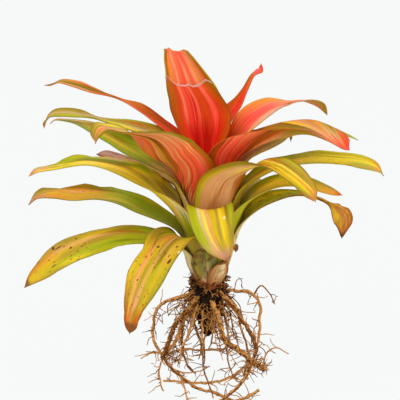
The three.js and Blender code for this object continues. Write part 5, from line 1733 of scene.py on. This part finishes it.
@dataclass(frozen=True)
class RootFinish:
    """Dull bark: a light and a dark hue, mixed by tone, blotches and fine creases."""

    light: Hue
    dark: Hue
    darkness: float
    fine: float = 900.0

    BLOTCH_SCALE = 210.0
    DETAIL = 3
    TONE_SHARE = 0.55
    DARKEN = (0.75, 1.0)
    CREASE = (0.56, 0.66)
    CREASE_COVER = 0.6
    BUMP_DEPTH = 0.5
    ROUGHNESS = 0.8
    GLOSS = 0.1

    def material(self, name: str) -> bpy.types.Material:
        """Builds the bark from noise in the plant's own space.

        Args:
            name: the material's name.

        Returns:
            The material.
        """
        graph = Graph(name)
        where = graph.node("ShaderNodeTexCoord", {}, {}).output("Object")
        blotch = graph.noise(where, self.BLOTCH_SCALE, self.DETAIL)
        crease = graph.noise(where, self.fine, self.DETAIL)
        # Painted shade and light: a low tone from hollows and undersides turns the bark darker, a high tone
        # on root tops lighter.
        depth = blotch * 0.5 + crease * 0.8 - graph.attribute("tone") * self.TONE_SHARE
        dark = graph.step(depth, *(place - self.darkness for place in self.DARKEN))
        colour = graph.blend(dark, linear(self.light), linear(self.dark))
        creased = graph.step(crease, *self.CREASE) * self.CREASE_COVER
        colour = graph.blend(creased, colour, linear(Hue.DARK_BROWN))
        colour = graph.shade(colour, 0.9 + (blotch - 0.5) * 0.6 + (crease - 0.5) * 0.5)
        normal = graph.bump(crease + blotch * 0.5, self.BUMP_DEPTH, 1.0)
        graph.surface(colour, self.ROUGHNESS, normal, self.GLOSS)
        return graph.material


@dataclass(frozen=True)
class RootKind:
    """How the roots of one kind are drawn, and how the seed changes from one root to the next."""

    radii: Pair
    sides: int
    step: float
    rough: float
    seed_step: float
    first_seed: float = 0.0

    def tubes(self, paths: list[Array]) -> list[Skin]:
        """Carries the kind's profile along each path."""
        return [
            tube(path, self.radii, self.sides, self.step, self.first_seed + k * self.seed_step, self.rough)
            for k, path in enumerate(paths)
        ]


class Stream:
    """Repeatable numbers: each state is the last one times a factor plus an increment, cut to 32 bits."""

    FACTOR = 1664525
    INCREMENT = 1013904223
    SIZE = 2**32

    def __init__(self, seed: int) -> None:
        """Starts the stream.

        Args:
            seed: the first state.
        """
        self.state = seed

    def between(self, low: float, high: float) -> float:
        """Takes the next number, from low to high."""
        self.state = (self.state * self.FACTOR + self.INCREMENT) % self.SIZE
        return low + (high - low) * self.state / self.SIZE


def drift(generator: np.random.Generator, count: int, strength: float, droop: float = 0.0) -> Array:
    """Gives a wandering change of direction: sums of normal draws, less a fall that grows by the step.

    Args:
        generator: the seeded source of chance.
        count: how many steps.
        strength: the size of one draw.
        droop: the growth of the fall.

    Returns:
        One vector for each step.
    """
    fall = UP * droop * np.arange(count)[:, None]
    return np.cumsum(generator.normal(size=(count, 3)) * strength, axis=0) - fall


@dataclass
class RootCage:
    """The stem's foot, the main roots, their rootlets and the fine roots between them."""

    seed: int = 41
    main_sides: int = 10
    main_step: float = 0.9
    main_rough: float = 0.16
    rootlet: RootKind = RootKind((0.55, 0.34), sides=6, step=1.1, rough=0.18, seed_step=1.0, first_seed=60.0)
    rootlet_spacing: float = 20
    rootlet_reach: Pair = (6, 18)
    rootlet_droop: Pair = (0.1, 0.55)
    rootlet_bend: Pair = (-0.8, 0.8)
    lowest_rootlet: float = 5
    peat_bottom: float = 55
    peat_clear: float = 22
    fine: RootKind = RootKind((0.56, 0.3), sides=4, step=1.8, rough=0.14, seed_step=0.37)
    fine_per_mm: float = 0.15
    branches_per_mm: float = 0.05
    fine_reach: Pair = (6.0, 20.0)
    fine_steps: int = 5
    strand: RootKind = RootKind((1.25, 0.5), sides=8, step=1.2, rough=0.18, seed_step=0.71)
    strands: int = 11
    strand_reach: Pair = (40.0, 72.0)
    curtain: RootKind = RootKind((0.62, 0.34), sides=5, step=1.8, rough=0.16, seed_step=0.53)
    curtain_roots: int = 46
    curtain_reach: Pair = (20.0, 60.0)
    hanging_steps: int = 9
    crown_radius: Pair = (11, 16)
    crown_height: Pair = (84, 103)
    cage_radius: float = 44.0
    tangles: tuple[Station, ...] = ((-29, -8, 35, 5), (-37, -10, 40, 4), (50, -15, 30, 5), (44, -14, 34, 3))
    tangle_roots: int = 22
    tangle_steps: int = 6
    foot: tuple[Pair, ...] = (
        (0, 96), (9, 96.6), (12.6, 99), (13.4, 103), (12.2, 108), (11.6, 111), (10, 116), (0, 117),
    )
    foot_rings: int = 40
    foot_sides: int = 48

    def rootlets(self) -> list[Array]:
        """Gives the paths of the rootlets that the CAD model has too.

        A repeatable stream picks, at even steps along each root, the direction, reach, droop and bend of
        the rootlet that leaves it there.

        Returns:
            Three points for each rootlet.
        """
        stream = Stream(self.seed)
        paths = []
        for root in ROOTS:
            spline = Spline(root.points, (0, 1, 2), samples=16)
            count = math.floor(spline.length / self.rootlet_spacing)
            for k in range(1, count):
                start = spline.at_length((k + stream.between(0, 0.8)) / count)
                turn = stream.between(0, FULL_TURN)
                reach = stream.between(*self.rootlet_reach)
                droop = stream.between(*self.rootlet_droop) * reach
                bent = turn + stream.between(*self.rootlet_bend)
                near_peat = start[2] > self.peat_bottom and math.hypot(start[0], start[1]) < self.peat_clear
                if start[2] < self.lowest_rootlet or near_peat or start[2] - droop < 1:
                    continue
                half = start + heading(turn) * reach / 2 - UP * droop / 4
                end = start + heading(bent) * reach - UP * droop
                paths.append(np.stack([start, half, end]))
        return paths

    def fine_paths(self, hosts: list[Array], generator: np.random.Generator, density: float) -> list[Array]:
        """Starts fine roots along hosts, each a crooked run of points that wanders and droops a little.

        Args:
            hosts: the paths that carry them.
            generator: the seeded source of chance.
            density: fine roots for each millimetre of host.

        Returns:
            The points of each fine root.
        """
        paths = []
        for host in hosts:
            spline = Spline(host, (0, 1, 2), samples=16)
            for share in generator.uniform(0.05, 0.98, round(spline.length * density)):
                reach = generator.uniform(*self.fine_reach)
                aim = unit(generator.normal(size=3) * (1, 1, 0.8))
                steps = unit(aim + drift(generator, self.fine_steps, 0.42, 0.06)) * reach / self.fine_steps
                path = walk(spline.at_length(share), steps)
                path[:, 2] = np.maximum(path[:, 2], 0.5)
                paths.append(path)
        return paths

    def hanging_paths(self, generator: np.random.Generator, count: int, reach: Pair) -> list[Array]:
        """Hangs long roots from the crown, each a run of points that bends down, wanders and stays caged.

        Args:
            generator: the seeded source of chance.
            count: how many roots.
            reach: their least and greatest length.

        Returns:
            The points of each root.
        """
        paths = []
        for k in range(count):
            outward = heading(FULL_TURN * (k * GOLDEN_SHARE + generator.uniform(0, 0.1)))
            start = outward * generator.uniform(*self.crown_radius)
            start = start + UP * generator.uniform(*self.crown_height)
            dip = generator.uniform(0.3, 1.3)
            aim = outward * math.cos(dip) - UP * math.sin(dip)
            steps = unit(aim + drift(generator, self.hanging_steps, 0.24, 0.07))
            path = walk(start, steps * generator.uniform(*reach) / self.hanging_steps)
            spread = np.linalg.norm(path[:, :2], axis=1)
            path[:, :2] *= np.minimum(1, self.cage_radius / spread)[:, None]
            path[:, 2] = np.maximum(path[:, 2], 3)
            paths.append(path)
        return paths

    def tangle_paths(self, generator: np.random.Generator) -> list[Array]:
        """Curls short fine roots round a few places on the cage, each a run of points with a strong drift."""
        paths = []
        for x, y, z, size in self.tangles:
            for _ in range(self.tangle_roots):
                start = np.array([x, y, z]) + generator.normal(size=3) * size * 0.5
                wander = drift(generator, self.tangle_steps, 0.9)
                steps = unit(generator.normal(size=3) + wander) * generator.uniform(0.9, 2.2)
                paths.append(walk(start, steps))
        return paths

    def build(self, bark: bpy.types.Material, wiry: bpy.types.Material) -> None:
        """Makes the foot, the main roots and the kinds of fine root.

        Args:
            bark: finish of the thick roots.
            wiry: finish of the fine ones.
        """
        generator = np.random.default_rng(self.seed)
        main_paths = [np.array(root.points, dtype=float) for root in ROOTS]
        sturdy = [
            tube(path, root.radii, self.main_sides, self.main_step, k + 1.0, self.main_rough)
            for k, (path, root) in enumerate(zip(main_paths, ROOTS))
        ]
        merged(sturdy).piece("main_roots", bark, "stem_and_roots", "root")
        rootlets = self.rootlets()
        thick = self.hanging_paths(generator, self.strands, self.strand_reach)
        thin = self.hanging_paths(generator, self.curtain_roots, self.curtain_reach)
        fine = self.fine_paths(main_paths, generator, self.fine_per_mm)
        fine += self.fine_paths(rootlets + thick + thin, generator, self.branches_per_mm)
        fine += self.tangle_paths(generator)
        skins = self.rootlet.tubes(rootlets) + self.strand.tubes(thick) + self.curtain.tubes(thin)
        merged(skins + self.fine.tubes(fine)).piece("fine_roots", wiry, "stem_and_roots", "root")
        self.stem_foot().piece("stem_foot", bark, "stem_and_roots", "root")

    def stem_foot(self) -> Skin:
        """Turns the foot's profile: radius times cos and sin of the turn, with shallow waves round it."""
        fine = np.linspace(0, len(self.foot) - 1, self.foot_rings)
        known = np.arange(len(self.foot))
        radius, height = (np.interp(fine, known, column)[1:-1] for column in zip(*self.foot))
        turn = np.linspace(0, FULL_TURN, self.foot_sides, endpoint=False)
        lump = 1 + 0.05 * np.sin(7 * turn + height[:, None] / 2) + 0.03 * np.sin(17 * turn)
        poles = (self.foot[0][1], self.foot[-1][1])
        return revolve(radius[:, None] * lump, height, self.foot_sides, poles, tone=0.6)


@dataclass
class PeatBall:
    """Dark peat held below the stem, with crumbs on it and fibres and stubs round the crown."""

    profile: tuple[Pair, ...] = (
        (55, 0.5), (57, 3), (63, 5), (71, 8), (80, 10.5), (90, 13), (98, 14.5), (104, 13), (107, 11),
        (108, 0.5),
    )
    seed: int = 7
    rings: int = 90
    sides: int = 96
    ring_heights: Pair = (55.5, 107.5)
    crumbs: int = 420
    crumb_sides: int = 6
    crumb_size: Pair = (0.7, 2.0)
    fibres: int = 230
    fibre_reach: Pair = (3.5, 10)
    fibre_steps: int = 4
    collar: float = 104.0
    stubs: int = 150
    stub_reach: Pair = (3, 8)
    stub_points: int = 4

    def radius(self, turn: Array, height: Array) -> Array:
        """Gives the peat's radius: the profile's at a height times a sum of waves round the axis."""
        lump = 1 + 0.2 * np.sin(3 * turn + height / 5) + 0.15 * np.sin(7 * turn - height / 3.1)
        lump = lump + 0.09 * np.sin(13 * turn + height / 1.4) + 0.08 * np.sin(height / 0.9 + 4 * turn)
        return np.interp(height, *zip(*self.profile)) * lump

    def surface(self, turn: Array, height: Array) -> Array:
        """Gives points of the peat: its radius times cos and sin of the turn, at each height."""
        radius = self.radius(turn, height)
        return np.stack([radius * np.cos(turn), radius * np.sin(turn), height], axis=-1)

    def build(self, earth: bpy.types.Material, fibre: bpy.types.Material) -> None:
        """Makes the ball with its crumbs, and the fibres and stubs.

        Args:
            earth: finish of the peat.
            fibre: finish of the fibres and stubs.
        """
        generator = np.random.default_rng(self.seed)
        turn = np.linspace(0, FULL_TURN, self.sides, endpoint=False)
        height = np.linspace(*self.ring_heights, self.rings)
        poles = (self.profile[0][0], self.profile[-1][0])
        ball = revolve(self.radius(turn, height[:, None]), height, self.sides, poles, tone=0.5)
        merged([ball, self.crumb_skin(generator)]).piece("peat_ball", earth, "peat", "peat")
        merged(self.fibre_skins(generator)).piece("crown_fibres", fibre, "peat", "peat")
        merged(self.stub_skins(generator)).piece("crown_stubs", fibre, "peat", "peat")

    def crumb_skin(self, generator: np.random.Generator) -> Skin:
        """Scatters small lumps over the peat: two rings and two poles each, with points pushed about."""
        turn = generator.uniform(0, FULL_TURN, self.crumbs)
        centre = self.surface(turn, generator.uniform(58, 107, self.crumbs))
        size = generator.uniform(*self.crumb_size, (self.crumbs, 1, 1))
        size = size * generator.uniform(0.6, 1.2, (self.crumbs, 1, 3))
        around = np.linspace(0, FULL_TURN, self.crumb_sides, endpoint=False)
        level = np.ones(self.crumb_sides)
        low = np.stack([0.8 * np.cos(around), 0.8 * np.sin(around), -0.4 * level], axis=-1)
        high = np.stack([0.7 * np.cos(around + 0.4), 0.7 * np.sin(around + 0.4), 0.45 * level], axis=-1)
        base = np.vstack([low, high, [(0, 0, -0.9), (0, 0, 0.95)]])
        jitter = generator.normal(size=(self.crumbs, len(base), 3)) * 0.12
        points = centre[:, None] + (base + jitter) * size
        shift = (np.arange(self.crumbs) * len(base))[:, None, None]
        blocks = closed_faces(2, self.crumb_sides)
        faces = [(block[None] + shift).reshape(-1, block.shape[1]) for block in blocks]
        tone = np.repeat(generator.uniform(0, 1, self.crumbs), len(base))
        return Skin(points.reshape(-1, 3), faces, {"tone": tone})

    def fibre_skins(self, generator: np.random.Generator) -> list[Skin]:
        """Lays short crooked fibres over the crown, pointing out and down, every third one low and thick."""
        skins = []
        for k in range(self.fibres):
            turn = generator.uniform(0, FULL_TURN)
            height = generator.uniform(84, 117) if k % 3 else generator.uniform(60, 95)
            outward = heading(turn)
            start = self.surface(np.array(turn), np.array(min(height, self.collar))) * (0.96, 0.96, 1)
            start[2] = height
            if height > self.collar:
                start[:2] = outward[:2] * (funnel_radius(OUTER_RING, height) + 0.3)
            aim = unit(outward * generator.uniform(0.1, 0.9) + generator.normal(size=3) * 0.75)
            reach = generator.uniform(*self.fibre_reach)
            steps = unit(aim + drift(generator, self.fibre_steps, 0.35)) * reach / self.fibre_steps
            thick = generator.uniform(0.35, 0.6) if k % 3 else generator.uniform(0.8, 1.5)
            skins.append(tube(walk(start, steps), (thick, thick * 0.55), 5, 1.2, k * 0.41, 0.2))
        return skins

    def stub_skins(self, generator: np.random.Generator) -> list[Skin]:
        """Crowds dark broken stubs round the foot of the sheaths, every third one at its left or right."""
        skins = []
        ahead = np.linspace(0, 1, self.stub_points)[:, None]
        for k in range(self.stubs):
            turn = generator.uniform(0, FULL_TURN)
            if k % 3 == 0:
                turn = (0 if k % 2 else np.pi) + generator.normal() * 0.3
            height = generator.uniform(99, 110) + (k % 3 == 0) * generator.uniform(0, 6)
            outward = heading(turn)
            along = np.cross(UP, outward)
            start = outward * (funnel_radius(OUTER_RING, height) + 0.2) + UP * height
            aim = unit(outward * 0.35 + along * generator.normal() * 0.8 + UP * generator.normal() * 0.7)
            path = start + ahead * aim * generator.uniform(*self.stub_reach)
            path[1:] += generator.normal(size=(self.stub_points - 1, 3)) * 0.5
            path += outward * ahead**2 * 1.2
            thick = generator.uniform(0.6, 1.4)
            skins.append(tube(path, (thick, thick * 0.7), 6, 1.0, k * 0.77, 0.3))
        return skins


@dataclass(frozen=True)
class Panel:
    """One square panel of light: its centre and side in millimetres, and its power in watts."""

    name: str
    place: Station
    size: float
    power: float


@dataclass
class Studio:
    """Pale floor swept up behind, soft light from large panels, and the photograph's camera."""

    aim_x: float = -7.2
    aim_z: float = 185.0
    distance: float = 1400
    elevation: float = 15
    lens: float = 140
    sensor: float = 36
    clip: Pair = (0.05, 20)
    panels: tuple[Panel, ...] = (
        Panel("key_panel", (-900, -1300, 1700), size=1400, power=20),
        Panel("fill_panel", (1500, -1300, 700), size=1500, power=8),
        Panel("back_panel", (300, 1300, 1500), size=1200, power=6),
    )
    panel_aim_z: float = 160.0
    sky: float = 0.85
    floor_front: float = -3000
    floor_back: float = 1600
    floor_bend: float = 1200.0
    floor_half: float = 3500.0
    wall_top: float = 3600
    floor_glow: float = 0.97

    def build(self) -> None:
        """Makes camera, floor, panels and sky."""
        self.camera()
        self.floor()
        for panel in self.panels:
            self.hang(panel)
        sky = bpy.data.worlds.new("soft_sky")
        sky.use_nodes = True
        shine = sky.node_tree.nodes["Background"]
        shine.inputs["Color"].default_value = (1, 1, 1, 1)
        shine.inputs["Strength"].default_value = self.sky
        bpy.context.scene.world = sky
        bpy.context.scene.view_settings.view_transform = "Standard"

    def camera(self) -> None:
        """Looks slightly down at the plant along +Y."""
        tilt = math.radians(self.elevation)
        eye = bpy.data.cameras.new("photo_camera")
        eye.lens = self.lens
        eye.sensor_width = self.sensor
        eye.clip_start, eye.clip_end = self.clip
        stand = bpy.data.objects.new("photo_camera", eye)
        place = (self.aim_x, -self.distance * math.cos(tilt), self.aim_z + self.distance * math.sin(tilt))
        stand.location = [part * MM for part in place]
        stand.rotation_euler = (math.pi / 2 - tilt, 0, 0)
        bpy.context.scene.collection.objects.link(stand)
        bpy.context.scene.camera = stand

    def floor(self) -> None:
        """Sweeps a profile of distance and height from the front up the back wall, in a straight sheet."""
        turn = np.linspace(0, np.pi / 2, 24)
        bend = self.floor_bend
        curve = self.floor_back + bend * np.sin(turn)
        depth = np.concatenate([[self.floor_front], curve, [self.floor_back + bend]])
        height = np.concatenate([[0], bend * (1 - np.cos(turn)), [self.wall_top]])
        left = np.stack([np.full(len(depth), -self.floor_half), depth, height], axis=-1)
        right = left * (-1, 1, 1)
        count = len(depth)
        k = np.arange(count - 1)
        quads = np.stack([k, k + count, k + count + 1, k + 1], axis=-1)
        mesh = bpy.data.meshes.new("studio_floor")
        mesh.from_pydata(np.vstack([left, right]) * MM, [], quads.tolist())
        mesh.polygons.foreach_set("use_smooth", np.ones(len(mesh.polygons), dtype=bool))
        graph = Graph("studio_paper")
        sockets = {"Base Color": (0.02, 0.02, 0.02, 1), "Roughness": 0.9, "Specular IOR Level": 0.0}
        sockets["Emission Color"] = linear(Hue.STUDIO)
        sockets["Emission Strength"] = self.floor_glow
        paper = graph.node("ShaderNodeBsdfPrincipled", {}, sockets)
        graph.node("ShaderNodeOutputMaterial", {}, {"Surface": paper})
        mesh.materials.append(graph.material)
        made = bpy.data.objects.new("studio_floor", mesh)
        bpy.context.scene.collection.objects.link(made)

    def hang(self, panel: Panel) -> None:
        """Hangs one panel so that it faces the plant.

        Args:
            panel: the panel of light.
        """
        light = bpy.data.lights.new(panel.name, "AREA")
        light.shape = "SQUARE"
        light.size = panel.size * MM
        light.energy = panel.power
        stand = bpy.data.objects.new(panel.name, light)
        x, y, z = np.array([self.aim_x, 0, self.panel_aim_z]) - np.array(panel.place, dtype=float)
        stand.location = [part * MM for part in panel.place]
        pitch = math.atan2(math.hypot(x, y), -z)
        stand.rotation_euler = (pitch, 0, math.atan2(y, x) - math.pi / 2)
        bpy.context.scene.collection.objects.link(stand)


def main() -> None:
    logging.basicConfig(level=logging.INFO, format="%(message)s")
    slots = {row["node"]: row["material_slot"] for row in frame["record"]["subparts"]}
    Studio().build()
    Foliage().build(slots)
    bark = RootFinish(Hue.ROOT_TAN, Hue.ROOT_BROWN, 0.47).material("root_bark")
    wiry = RootFinish(Hue.ROOT_TAN, Hue.ROOT_BROWN, 0.57, fine=1500.0).material("wiry_bark")
    fibre = RootFinish(Hue.TAN, Hue.DARK_BROWN, 0.66).material("fibre_bark")
    earth = RootFinish(Hue.DARK_BROWN, Hue.PEAT, 0.7).material("peat_crumb")
    RootCage().build(bark, wiry)
    PeatBall().build(earth, fibre)


if __name__ == "__main__":
    main()
